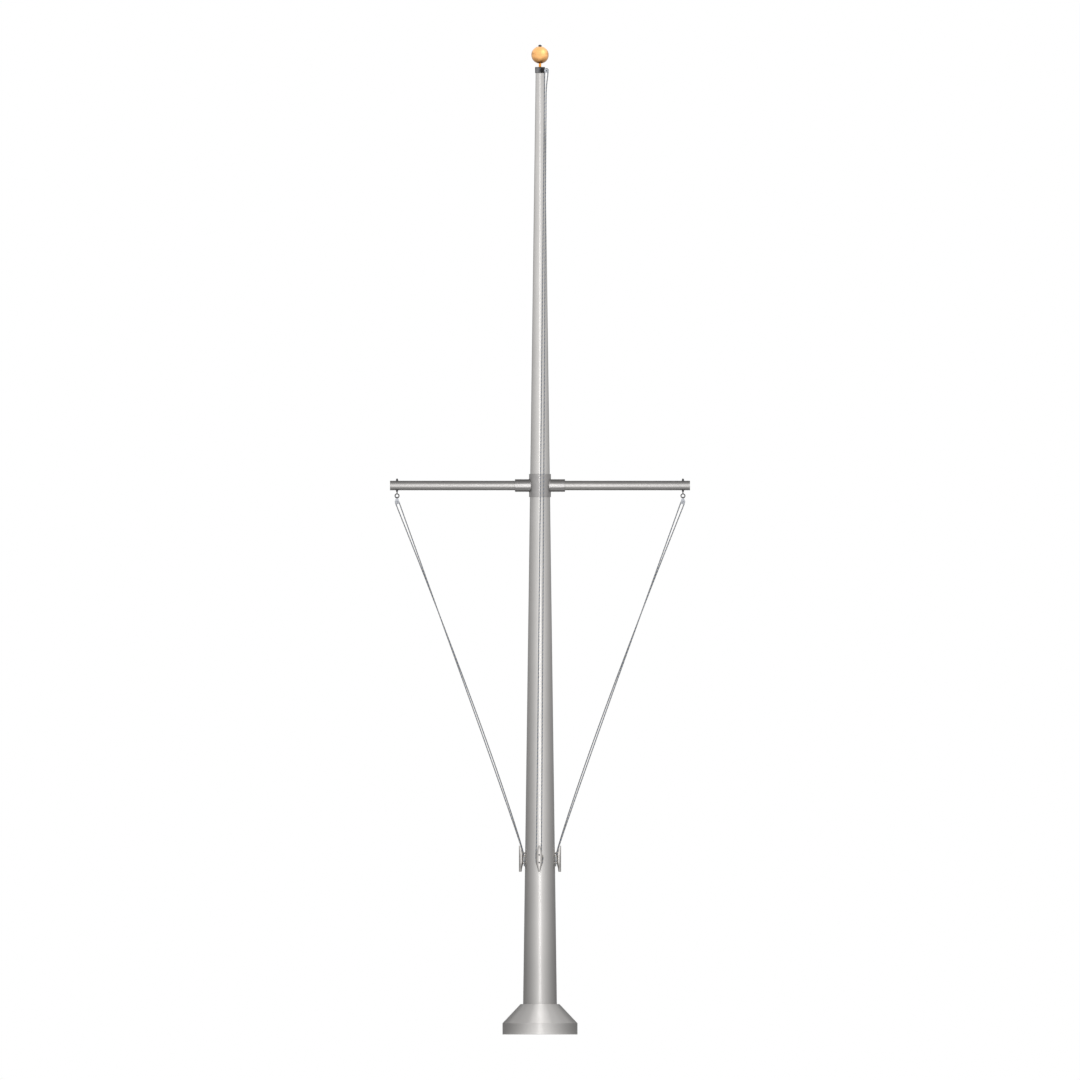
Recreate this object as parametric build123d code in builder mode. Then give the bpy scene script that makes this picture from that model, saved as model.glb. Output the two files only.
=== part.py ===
"""Nautical flagpole with a yardarm, halyards, cleats, truck and ball, in millimetres.

The origin is at ground level on the pole's axis, +Z is up, the yardarm lies along X and the
front of the pole, with the middle cleat, faces -Y.
"""

import os

from build123d import *
from math import atan, cos, pi, radians, sin, sqrt, tan

os.makedirs("parts", exist_ok=True)

# ---- Driving dimensions ----

# Shaft: a straight cone, seen from the ground to the truck.
POLE_BUTT_DIAMETER = 304.8
POLE_TOP_DIAMETER = 76.2
POLE_HEIGHT = 8461.0
POLE_WALL = 6.35
POLE_IN_CAP = 29.0

# Base plate, with a socket ring round the shaft's foot.
PLATE_THICKNESS = 25.0
PLATE_BOLT_MARGIN = 50.8
PLATE_EDGE_MARGIN = 36.8
PLATE_HOLE_DIAMETER = 28.0
PLATE_HOLE_COUNT = 4
SOCKET_HEIGHT = 90.0
SOCKET_WALL = 14.0

# Base cover.
COVER_MARGIN = 90.0
COVER_SKIRT_HEIGHT = 100.0
COVER_HEIGHT = 268.0
COVER_RIM_WIDTH = 22.72
COVER_WALL = 3.2

# Yardarm tubes and the collar that holds them.
YARDARM_HEIGHT = 4831.0
YARDARM_LENGTH = 2640.0
YARDARM_DIAMETER = 84.0
YARDARM_WALL = 4.0
YARDARM_CAP_THICKNESS = 4.0
YARDARM_CAP_EDGE = 1.5
YARDARM_PLUG_DEPTH = 8.0
SLEEVE_HEIGHT = 203.0
SLEEVE_WALL = 7.491
STUB_LENGTH = 124.0
STUB_WALL = 13.8
STUB_FLOOR_THICKNESS = 14.0

# Eye bolts and their nuts.
EYE_INSET = 62.0
EYE_WIRE_DIAMETER = 9.5
EYE_RING_DIAMETER = 44.0
EYE_NECK = 26.8
EYE_NUT_WIDTH = 17.5
EYE_NUT_HEIGHT = 8.5
EYE_LOCK_NUT_HEIGHT = 16.0
EYE_CAP_NUT_DOME = 11.0
EYE_CAP_NUT_EDGE = 0.75
EYE_CAP_NUT_ROUNDING = 7.0

# Rope, sheaves and pins.
ROPE_DIAMETER = 11.0
ROPE_CLEARANCE = 0.5
SHEAVE_PITCH_RADIUS = 16.0
SHEAVE_RIM = 4.0
SHEAVE_WALL = 1.5
SHEAVE_SIDE_GAP = 1.0
PIN_DIAMETER = 8.0
PIN_RUNNING_GAP = 0.05
PIN_HEAD_RIM = 2.0
PIN_HEAD_THICKNESS = 2.5

# Blocks under the yardarm ends.
BLOCK_RING_GAP = 1.0
BLOCK_CHEEK_THICKNESS = 3.0
BLOCK_CHEEK_WIDTH = 30.0
BLOCK_HEAD_GAP = 4.0
BLOCK_HEAD_THICKNESS = 5.5
BLOCK_HEAD_ROUNDING = 7.0
BLOCK_EYE_WIRE = 6.0

# Truck: the cap on the shaft and the fork of its sheave.
TRUCK_CAP_HEIGHT = 53.0
TRUCK_CAP_WALL = 5.4
TRUCK_CAP_EDGE = 3.0
TRUCK_SHEAVE_X = 58.0
TRUCK_SHEAVE_Y = -63.0
TRUCK_SHEAVE_DROP = 30.0
TRUCK_FORK_START = 10.0
TRUCK_FORK_GAP = 6.0
TRUCK_CHEEK_HEIGHT = 24.0
TRUCK_CHEEK_THICKNESS = 4.5
TRUCK_ARM_HEIGHT = 34.0

# Ball, its spindle and its nut.
SPINDLE_DIAMETER = 22.0
SPINDLE_NECK = 29.8
SPINDLE_ROD_DIAMETER = 12.0
SPINDLE_THREAD_DEPTH = 10.0
BALL_DIAMETER = 152.4
BALL_WALL = 1.6
BALL_NUT_WIDTH = 27.0
BALL_NUT_HEIGHT = 8.0
BALL_NUT_DOME = 5.5

# Cleats and their screws.
CLEAT_HEIGHT = 1547.0
CLEAT_LENGTH = 231.0
CLEAT_BAR_DEPTH = 40.0
CLEAT_WIDTH = 56.0
CLEAT_TIP_DEPTH = 24.0
CLEAT_TIP_WIDTH = 19.0
CLEAT_ROPE_GAP = 3.0
CLEAT_FOOT_DIAMETER = 24.0
CLEAT_FOOT_SPACING = 67.0
CLEAT_SCREW_DIAMETER = 9.5
CLEAT_SCREW_HEAD_DIAMETER = 14.0
CLEAT_SCREW_HEAD_DEPTH = 4.0
CLEAT_SCREW_RECESS = 5.0
CLEAT_SCREW_BITE = 12.0
FRONT_CLEAT_ANGLE = -92.3

# Halyard routes. A hitch is two flat turns side by side round the feet of its cleat, and its
# points are (across, up) from the cleat's middle. The falls' points are (x, y, z).
HITCH_GAP = 1.5
INNER_TAIL = (1.0, 53.7)
OUTER_TAIL = (33.0, 30.0)
INNER_ENTRY = (21.0, 60.0)
OUTER_ENTRY = (-31.0, 60.0)
YARD_TAUT_LEAN = 19.7
YARD_SLACK_LEAN = 21.6
YARD_SLACK_FALL = [(939.8, 8.0, 3841.0), (467.8, 17.0, 2592.0)]
FRONT_INNER_ENTRY = (18.5, 75.0)
FRONT_OUTER_ENTRY = [(-23.0, 150.0), (-30.5, 55.0)]
FRONT_INNER_FALL = (54.0, -66.5, 8330.0)
MAIN_FALL_LEAN = 7.5

# Clearances between pieces that are fitted to each other.
SLIP_FIT = 0.3
SEAT_GAP = 0.2

SIDES = {"left": -1, "right": 1}
CLEAT_ANGLES = {"left": 180.0, "front": FRONT_CLEAT_ANGLE, "right": 0.0}

# ---- Sizes worked out from the driving dimensions ----

POLE_TAPER = (POLE_BUTT_DIAMETER - POLE_TOP_DIAMETER) / 2 / POLE_HEIGHT


def pole_radius(height):
    """Outer radius of the straight-tapered pole at a height above the ground."""
    return POLE_BUTT_DIAMETER / 2 - POLE_TAPER * height


POLE_END = POLE_HEIGHT + POLE_IN_CAP
PLATE_BOLT_CIRCLE = POLE_BUTT_DIAMETER + 2 * PLATE_BOLT_MARGIN
PLATE_DIAMETER = PLATE_BOLT_CIRCLE + 2 * PLATE_EDGE_MARGIN
COVER_RADIUS = PLATE_DIAMETER / 2 + COVER_MARGIN
COVER_RIM_RADIUS = pole_radius(COVER_HEIGHT) + COVER_RIM_WIDTH

SLEEVE_LOW = YARDARM_HEIGHT - SLEEVE_HEIGHT / 2
SLEEVE_HIGH = YARDARM_HEIGHT + SLEEVE_HEIGHT / 2
SLEEVE_RADIUS = pole_radius(SLEEVE_LOW) + SLEEVE_WALL
STUB_REACH = SLEEVE_RADIUS + STUB_LENGTH
STUB_FLOOR = SLEEVE_RADIUS + STUB_FLOOR_THICKNESS
YARDARM_TOP = YARDARM_HEIGHT + YARDARM_DIAMETER / 2 + SEAT_GAP
YARDARM_BOTTOM = YARDARM_HEIGHT - YARDARM_DIAMETER / 2 - SEAT_GAP

EYE_OFFSET = YARDARM_LENGTH / 2 - EYE_INSET
EYE_RING_RADIUS = (EYE_RING_DIAMETER - EYE_WIRE_DIAMETER) / 2
EYE_CENTRE = YARDARM_BOTTOM - EYE_NECK - EYE_RING_DIAMETER / 2

ROPE_RADIUS = ROPE_DIAMETER / 2
GROOVE_RADIUS = ROPE_RADIUS + ROPE_CLEARANCE
SHEAVE_WIDTH = 2 * (GROOVE_RADIUS + SHEAVE_WALL)
SHEAVE_RADIUS = SHEAVE_PITCH_RADIUS + SHEAVE_RIM
PIN_HEAD_DIAMETER = PIN_DIAMETER + 2 * PIN_HEAD_RIM
PIN_BORE_RADIUS = PIN_DIAMETER / 2 + PIN_RUNNING_GAP
CHEEK_INNER = SHEAVE_WIDTH / 2 + SHEAVE_SIDE_GAP

BLOCK_HEAD_BOTTOM = SHEAVE_PITCH_RADIUS + ROPE_RADIUS + BLOCK_HEAD_GAP
BLOCK_HEAD_TOP = BLOCK_HEAD_BOTTOM + BLOCK_HEAD_THICKNESS
BLOCK_CENTRE = EYE_CENTRE - EYE_RING_DIAMETER / 2 - BLOCK_RING_GAP - BLOCK_HEAD_TOP

TRUCK_CAP_RADIUS = POLE_TOP_DIAMETER / 2 + TRUCK_CAP_WALL
TRUCK_CAP_TOP = POLE_HEIGHT + TRUCK_CAP_HEIGHT
TRUCK_SHEAVE_Z = TRUCK_CAP_TOP - TRUCK_SHEAVE_DROP
TRUCK_BRIDGE_END = TRUCK_SHEAVE_X - SHEAVE_RADIUS - TRUCK_FORK_GAP

ROD_HOLE_RADIUS = SPINDLE_ROD_DIAMETER / 2 + SLIP_FIT
BALL_CENTRE = TRUCK_CAP_TOP + SPINDLE_NECK + BALL_DIAMETER / 2
BALL_SEAT = sqrt((BALL_DIAMETER / 2) ** 2 - ROD_HOLE_RADIUS**2)

CLEAT_FEET = (-CLEAT_FOOT_SPACING / 2, CLEAT_FOOT_SPACING / 2)
CLEAT_WEB_GAP = ROPE_DIAMETER + CLEAT_ROPE_GAP
CLEAT_REACH = CLEAT_WEB_GAP + CLEAT_BAR_DEPTH
HITCH_LIFT = ROPE_RADIUS + HITCH_GAP
HITCH_INNER_RADIUS = CLEAT_FOOT_DIAMETER / 2 + ROPE_RADIUS + ROPE_CLEARANCE
HITCH_OUTER_RADIUS = HITCH_INNER_RADIUS + ROPE_DIAMETER + ROPE_CLEARANCE


def save(builder, name):
    """Label a finished piece and write it as one STEP file."""
    builder.part.label = name
    export_step(builder.part, f"parts/{name}.step")


# ---- Pole and base ----


def make_pole():
    """Spun aluminium shaft: a straight cone with an even wall."""
    base, top = PLATE_THICKNESS, POLE_END
    with BuildPart() as pole:
        with BuildSketch(Plane.XZ):
            with BuildLine():
                Polyline(
                    (pole_radius(base) - POLE_WALL, base),
                    (pole_radius(base), base),
                    (pole_radius(top), top),
                    (pole_radius(top) - POLE_WALL, top),
                    close=True,
                )
            make_face()
        revolve(axis=Axis.Z)
        for angle in CLEAT_ANGLES.values():
            for up in CLEAT_FEET:
                with BuildSketch(cleat_plane(angle, up, 0)):
                    Circle(CLEAT_SCREW_DIAMETER / 2 + SEAT_GAP)
                extrude(amount=pole_radius(0), mode=Mode.SUBTRACT)
    save(pole, "pole_shaft")


def make_base_plate():
    """Cast shoe: a round bolted plate with a socket ring round the pole's foot."""
    inner_low = pole_radius(PLATE_THICKNESS) + SLIP_FIT
    socket_top = PLATE_THICKNESS + SOCKET_HEIGHT
    inner_high = pole_radius(socket_top) + SLIP_FIT
    outer = inner_low + SOCKET_WALL
    with BuildPart() as plate:
        with BuildSketch(Plane.XY):
            Circle(PLATE_DIAMETER / 2)
            with PolarLocations(PLATE_BOLT_CIRCLE / 2, PLATE_HOLE_COUNT, start_angle=45):
                Circle(PLATE_HOLE_DIAMETER / 2, mode=Mode.SUBTRACT)
        extrude(amount=PLATE_THICKNESS)
        with BuildSketch(Plane.XZ):
            with BuildLine():
                Polyline(
                    (inner_low, PLATE_THICKNESS),
                    (outer, PLATE_THICKNESS),
                    (outer, socket_top),
                    (inner_high, socket_top),
                    close=True,
                )
            make_face()
        revolve(axis=Axis.Z)
    save(plate, "base_plate")


def make_base_cover():
    """Spun flash collar: a skirt, a cone and a flat rim that closes on the pole."""
    rim_inner = pole_radius(COVER_HEIGHT - COVER_WALL) + SLIP_FIT
    skirt, rim = COVER_RADIUS, COVER_RIM_RADIUS
    cone_half_turn = atan((skirt - rim) / (COVER_HEIGHT - COVER_SKIRT_HEIGHT)) / 2
    rim_half_turn = radians(45) - cone_half_turn
    skirt_inset = COVER_WALL * tan(cone_half_turn)
    rim_inset = COVER_WALL * tan(rim_half_turn)
    with BuildPart() as cover:
        with BuildSketch(Plane.XZ):
            with BuildLine():
                Polyline(
                    (skirt, 0),
                    (skirt, COVER_SKIRT_HEIGHT),
                    (rim, COVER_HEIGHT),
                    (rim_inner, COVER_HEIGHT),
                    (rim_inner, COVER_HEIGHT - COVER_WALL),
                    (rim - rim_inset, COVER_HEIGHT - COVER_WALL),
                    (skirt - COVER_WALL, COVER_SKIRT_HEIGHT - skirt_inset),
                    (skirt - COVER_WALL, 0),
                    close=True,
                )
            make_face()
        revolve(axis=Axis.Z)
    save(cover, "base_cover")


# ---- Yardarm ----


def make_yardarm_sleeve():
    """Cast collar wedged on the pole's taper, with a socket stub on each side."""
    with BuildPart() as sleeve:
        with Locations((0, 0, YARDARM_HEIGHT)):
            Cylinder(SLEEVE_RADIUS, SLEEVE_HEIGHT)
            Cylinder(YARDARM_DIAMETER / 2 + STUB_WALL, 2 * STUB_REACH, rotation=(0, 90, 0))
        with BuildSketch(Plane.XZ):
            with BuildLine():
                Polyline(
                    (0, SLEEVE_LOW),
                    (pole_radius(SLEEVE_LOW) + SEAT_GAP, SLEEVE_LOW),
                    (pole_radius(SLEEVE_HIGH) + SEAT_GAP, SLEEVE_HIGH),
                    (0, SLEEVE_HIGH),
                    close=True,
                )
            make_face()
        revolve(axis=Axis.Z, mode=Mode.SUBTRACT)
        for side in SIDES.values():
            with BuildSketch(Plane.YZ.offset(side * STUB_FLOOR)):
                with Locations((0, YARDARM_HEIGHT)):
                    Circle(YARDARM_DIAMETER / 2 + SLIP_FIT)
            extrude(amount=side * (STUB_REACH - STUB_FLOOR), mode=Mode.SUBTRACT)
    save(sleeve, "yardarm_sleeve")


def make_yardarm(name, side):
    """One drawn tube of the yardarm, drilled for its eye bolt, and its end plug."""
    start = side * (STUB_FLOOR + SEAT_GAP)
    length = YARDARM_LENGTH / 2 - YARDARM_CAP_THICKNESS - STUB_FLOOR - SEAT_GAP
    with BuildPart() as tube:
        with BuildSketch(Plane.YZ.offset(start)):
            with Locations((0, YARDARM_HEIGHT)):
                Circle(YARDARM_DIAMETER / 2)
                Circle(YARDARM_DIAMETER / 2 - YARDARM_WALL, mode=Mode.SUBTRACT)
        extrude(amount=side * length)
        with Locations((side * EYE_OFFSET, 0, YARDARM_HEIGHT)):
            Cylinder(EYE_WIRE_DIAMETER / 2 + SEAT_GAP, 2 * YARDARM_DIAMETER, mode=Mode.SUBTRACT)
    save(tube, f"yardarm_{name}")

    plug_radius = YARDARM_DIAMETER / 2 - YARDARM_WALL - SLIP_FIT
    with BuildPart() as cap:
        with BuildSketch(Plane.YZ.offset(side * YARDARM_LENGTH / 2)):
            with Locations((0, YARDARM_HEIGHT)):
                Circle(YARDARM_DIAMETER / 2)
        extrude(amount=-side * YARDARM_CAP_THICKNESS)
        outer_edge = cap.edges().filter_by(GeomType.CIRCLE).sort_by(Axis.X)[-1 if side > 0 else 0]
        fillet(outer_edge, YARDARM_CAP_EDGE)
        with BuildSketch(Plane.YZ.offset(side * (YARDARM_LENGTH / 2 - YARDARM_CAP_THICKNESS))):
            with Locations((0, YARDARM_HEIGHT)):
                Circle(plug_radius)
        extrude(amount=-side * YARDARM_PLUG_DEPTH)
    save(cap, f"yardarm_cap_{name}")


def make_eye_bolt(name, side):
    """Eye bolt through the yardarm: ring below, cap nut on top and lock nut under the tube."""
    x = side * EYE_OFFSET
    wire = EYE_WIRE_DIAMETER / 2
    with BuildPart() as eye:
        with Locations((x, 0, EYE_CENTRE)):
            Torus(EYE_RING_RADIUS, wire, rotation=(90, 0, 0))
        with BuildSketch(Plane.XY.offset(EYE_CENTRE + EYE_RING_RADIUS)):
            with Locations((x, 0)):
                Circle(wire)
        extrude(amount=YARDARM_TOP + EYE_NUT_HEIGHT + wire - EYE_CENTRE - EYE_RING_RADIUS)
    save(eye, f"eye_bolt_{name}")

    bore = wire + SEAT_GAP
    with BuildPart() as cap_nut:
        with BuildSketch(Plane.XY.offset(YARDARM_TOP)):
            with Locations((x, 0)):
                RegularPolygon(EYE_NUT_WIDTH / 2, 6, major_radius=False)
        extrude(amount=EYE_NUT_HEIGHT)
        with BuildSketch(Plane.XY.offset(YARDARM_TOP + EYE_NUT_HEIGHT)):
            with Locations((x, 0)):
                Circle(EYE_NUT_WIDTH / 2 - EYE_CAP_NUT_EDGE)
        extrude(amount=EYE_CAP_NUT_DOME)
        fillet(cap_nut.edges().filter_by(GeomType.CIRCLE).sort_by(Axis.Z)[-1], EYE_CAP_NUT_ROUNDING)
        with BuildSketch(Plane.XY.offset(YARDARM_TOP)):
            with Locations((x, 0)):
                Circle(bore)
        extrude(amount=EYE_NUT_HEIGHT + wire + SEAT_GAP, mode=Mode.SUBTRACT)
    save(cap_nut, f"eye_cap_nut_{name}")

    with BuildPart() as lock_nut:
        with BuildSketch(Plane.XY.offset(YARDARM_BOTTOM)):
            with Locations((x, 0)):
                RegularPolygon(EYE_NUT_WIDTH / 2, 6, major_radius=False)
        with BuildSketch(Plane.XY.offset(YARDARM_BOTTOM - EYE_LOCK_NUT_HEIGHT)):
            with Locations((x, 0)):
                RegularPolygon(EYE_NUT_WIDTH / 3, 6, major_radius=False)
        loft()
        with BuildSketch(Plane.XY.offset(YARDARM_BOTTOM)):
            with Locations((x, 0)):
                Circle(bore)
        extrude(amount=-EYE_LOCK_NUT_HEIGHT, mode=Mode.SUBTRACT)
    save(lock_nut, f"eye_lock_nut_{name}")


# ---- Sheaves, pins and blocks ----


def make_sheave(name, x, y, z):
    """Grooved wheel on a pin along Y, with a round-bottomed rope groove."""
    mouth = SHEAVE_PITCH_RADIUS + SHEAVE_RIM
    with BuildPart() as sheave:
        with BuildSketch(Plane.XY.offset(z)):
            with Locations((x, y)):
                with Locations(((PIN_BORE_RADIUS + SHEAVE_RADIUS) / 2, 0)):
                    Rectangle(SHEAVE_RADIUS - PIN_BORE_RADIUS, SHEAVE_WIDTH)
                with Locations((SHEAVE_PITCH_RADIUS, 0)):
                    Circle(GROOVE_RADIUS, mode=Mode.SUBTRACT)
                with Locations((mouth, 0)):
                    Rectangle(2 * SHEAVE_RIM, 2 * GROOVE_RADIUS, mode=Mode.SUBTRACT)
        revolve(axis=Axis((x, y, z), (0, 1, 0)))
    save(sheave, name)


def make_pin(name, x, y, z, cheek_thickness):
    """Headed pin through both cheeks, along Y."""
    half = CHEEK_INNER + cheek_thickness
    with BuildPart() as pin:
        with Locations((x, y, z)):
            Cylinder(PIN_DIAMETER / 2, 2 * half, rotation=(90, 0, 0))
            for side in SIDES.values():
                with Locations((0, side * (half + PIN_HEAD_THICKNESS / 2), 0)):
                    Cylinder(PIN_HEAD_DIAMETER / 2, PIN_HEAD_THICKNESS, rotation=(90, 0, 0))
        fillet(pin.edges().filter_by(GeomType.CIRCLE).group_by(Axis.Y)[0], 1)
        fillet(pin.edges().filter_by(GeomType.CIRCLE).group_by(Axis.Y)[-1], 1)
    save(pin, name)


def make_block(name, side):
    """Single block hung from the eye: strap cheeks under a head, and a wire eye on top."""
    x = side * EYE_OFFSET
    z = BLOCK_CENTRE
    outer = CHEEK_INNER + BLOCK_CHEEK_THICKNESS
    cheek = BLOCK_CHEEK_WIDTH / 2
    with BuildPart() as shell:
        with BuildSketch(Plane.XZ.offset(-outer)):
            with Locations((x, z)):
                Circle(cheek)
                with Locations((0, BLOCK_HEAD_TOP / 2)):
                    Rectangle(BLOCK_CHEEK_WIDTH, BLOCK_HEAD_TOP)
        extrude(amount=2 * outer)
        fillet(shell.edges().filter_by(Axis.Y).group_by(Axis.Z)[-1], BLOCK_HEAD_ROUNDING)
        with BuildSketch(Plane.XZ.offset(-CHEEK_INNER)):
            with Locations((x, z + BLOCK_HEAD_BOTTOM / 2 - cheek)):
                Rectangle(2 * BLOCK_CHEEK_WIDTH, BLOCK_HEAD_BOTTOM + 2 * cheek)
        extrude(amount=2 * CHEEK_INNER, mode=Mode.SUBTRACT)
        with Locations((x, 0, z)):
            Cylinder(PIN_BORE_RADIUS, 4 * outer, rotation=(90, 0, 0), mode=Mode.SUBTRACT)
    save(shell, f"block_shell_{name}")
    make_pin(f"block_pin_{name}", x, 0, z, BLOCK_CHEEK_THICKNESS)
    make_sheave(f"block_sheave_{name}", x, 0, z)

    leg = EYE_WIRE_DIAMETER / 2 + BLOCK_EYE_WIRE / 2 + SEAT_GAP
    seat = z + BLOCK_HEAD_TOP
    bend_start = EYE_CENTRE - EYE_RING_RADIUS
    with BuildPart() as eye:
        with BuildLine() as path:
            up = Line((x, -leg, seat), (x, -leg, bend_start))
            over = ThreePointArc(up @ 1, (x, 0, bend_start + leg), (x, leg, bend_start))
            Line(over @ 1, (x, leg, seat))
        with BuildSketch(Plane(origin=(x, -leg, seat), z_dir=(0, 0, 1))):
            Circle(BLOCK_EYE_WIRE / 2)
        sweep(path=path.line)
    save(eye, f"block_eye_{name}")


# ---- Truck and finial ----


def make_truck():
    """Cast cap over the pole's top and a fork that carries the sheave out in front."""
    bore_top = POLE_END + SEAT_GAP
    with BuildPart() as cap:
        with BuildSketch(Plane.XY.offset(POLE_HEIGHT)):
            Circle(TRUCK_CAP_RADIUS)
        extrude(amount=TRUCK_CAP_HEIGHT)
        fillet(cap.edges().filter_by(GeomType.CIRCLE), TRUCK_CAP_EDGE)
        with BuildSketch(Plane.XZ):
            with BuildLine():
                Polyline(
                    (0, POLE_HEIGHT),
                    (pole_radius(POLE_HEIGHT) + SLIP_FIT, POLE_HEIGHT),
                    (pole_radius(bore_top) + SLIP_FIT, bore_top),
                    (0, bore_top),
                    close=True,
                )
            make_face()
        revolve(axis=Axis.Z, mode=Mode.SUBTRACT)
        with Locations((0, 0, TRUCK_CAP_TOP)):
            Hole(ROD_HOLE_RADIUS, SPINDLE_THREAD_DEPTH)
    save(cap, "truck_cap")

    outer = CHEEK_INNER + TRUCK_CHEEK_THICKNESS
    x, y, z = TRUCK_SHEAVE_X, TRUCK_SHEAVE_Y, TRUCK_SHEAVE_Z
    bridge = TRUCK_BRIDGE_END - TRUCK_FORK_START
    with BuildPart() as fork:
        with BuildSketch(Plane.XZ.offset(-y - outer)):
            with Locations((x, z)):
                Circle(TRUCK_CHEEK_HEIGHT / 2)
            with Locations(((x + TRUCK_FORK_START) / 2, z)):
                Rectangle(x - TRUCK_FORK_START, TRUCK_CHEEK_HEIGHT)
        extrude(amount=2 * outer)
        with BuildSketch(Plane.XZ.offset(-y - CHEEK_INNER)):
            with Locations((TRUCK_BRIDGE_END + x, z)):
                Rectangle(2 * x, 2 * TRUCK_CHEEK_HEIGHT)
        extrude(amount=2 * CHEEK_INNER, mode=Mode.SUBTRACT)
        with BuildSketch(Plane.XZ):
            with Locations((TRUCK_FORK_START + bridge / 2, z)):
                Rectangle(bridge, TRUCK_ARM_HEIGHT)
        extrude(amount=-y - CHEEK_INNER)
        with BuildSketch(Plane.XY.offset(POLE_HEIGHT)):
            Circle(TRUCK_CAP_RADIUS + SEAT_GAP)
        extrude(amount=TRUCK_CAP_HEIGHT, mode=Mode.SUBTRACT)
        with Locations((x, y, z)):
            Cylinder(PIN_BORE_RADIUS, 4 * outer, rotation=(90, 0, 0), mode=Mode.SUBTRACT)
    save(fork, "truck_fork")
    make_pin("truck_pin", x, y, z, TRUCK_CHEEK_THICKNESS)
    make_sheave("truck_sheave", x, y, z)


def make_finial():
    """Gold ball on a shouldered spindle, held down by a domed nut."""
    rod = SPINDLE_ROD_DIAMETER / 2
    seat_low = BALL_CENTRE - BALL_SEAT - SEAT_GAP
    seat_high = BALL_CENTRE + BALL_SEAT + SEAT_GAP
    with BuildPart() as spindle:
        with BuildSketch(Plane.XY.offset(TRUCK_CAP_TOP)):
            Circle(SPINDLE_DIAMETER / 2)
        extrude(amount=seat_low - TRUCK_CAP_TOP)
        with BuildSketch(Plane.XY.offset(TRUCK_CAP_TOP - SPINDLE_THREAD_DEPTH + SEAT_GAP)):
            Circle(rod)
        extrude(amount=seat_high + BALL_NUT_HEIGHT - TRUCK_CAP_TOP + SPINDLE_THREAD_DEPTH - SEAT_GAP)
    save(spindle, "finial_spindle")

    with BuildPart() as ball:
        with Locations((0, 0, BALL_CENTRE)):
            Sphere(BALL_DIAMETER / 2)
            Sphere(BALL_DIAMETER / 2 - BALL_WALL, mode=Mode.SUBTRACT)
            Cylinder(ROD_HOLE_RADIUS, 2 * BALL_DIAMETER, mode=Mode.SUBTRACT)
    save(ball, "finial_ball")

    flat = BALL_NUT_WIDTH / 2
    with BuildPart() as nut:
        with BuildSketch(Plane.XY.offset(seat_high)):
            RegularPolygon(flat, 6, major_radius=False)
        extrude(amount=BALL_NUT_HEIGHT)
        with BuildSketch(Plane.XY.offset(seat_high + BALL_NUT_HEIGHT)):
            Circle(flat * 0.94)
        with BuildSketch(Plane.XY.offset(seat_high + BALL_NUT_HEIGHT + BALL_NUT_DOME)):
            Circle(flat * 0.55)
        loft()
        with BuildSketch(Plane.XY.offset(seat_high)):
            Circle(ROD_HOLE_RADIUS)
        extrude(amount=BALL_NUT_HEIGHT + SEAT_GAP, mode=Mode.SUBTRACT)
    save(nut, "finial_nut")


# ---- Cleats ----


def cleat_plane(angle, up, out):
    """Plane that faces outwards, up from a cleat's middle and out from the pole's axis."""
    turn = radians(angle)
    facing = (cos(turn), sin(turn), 0)
    return Plane(origin=(out * cos(turn), out * sin(turn), CLEAT_HEIGHT + up), z_dir=facing)


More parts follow.
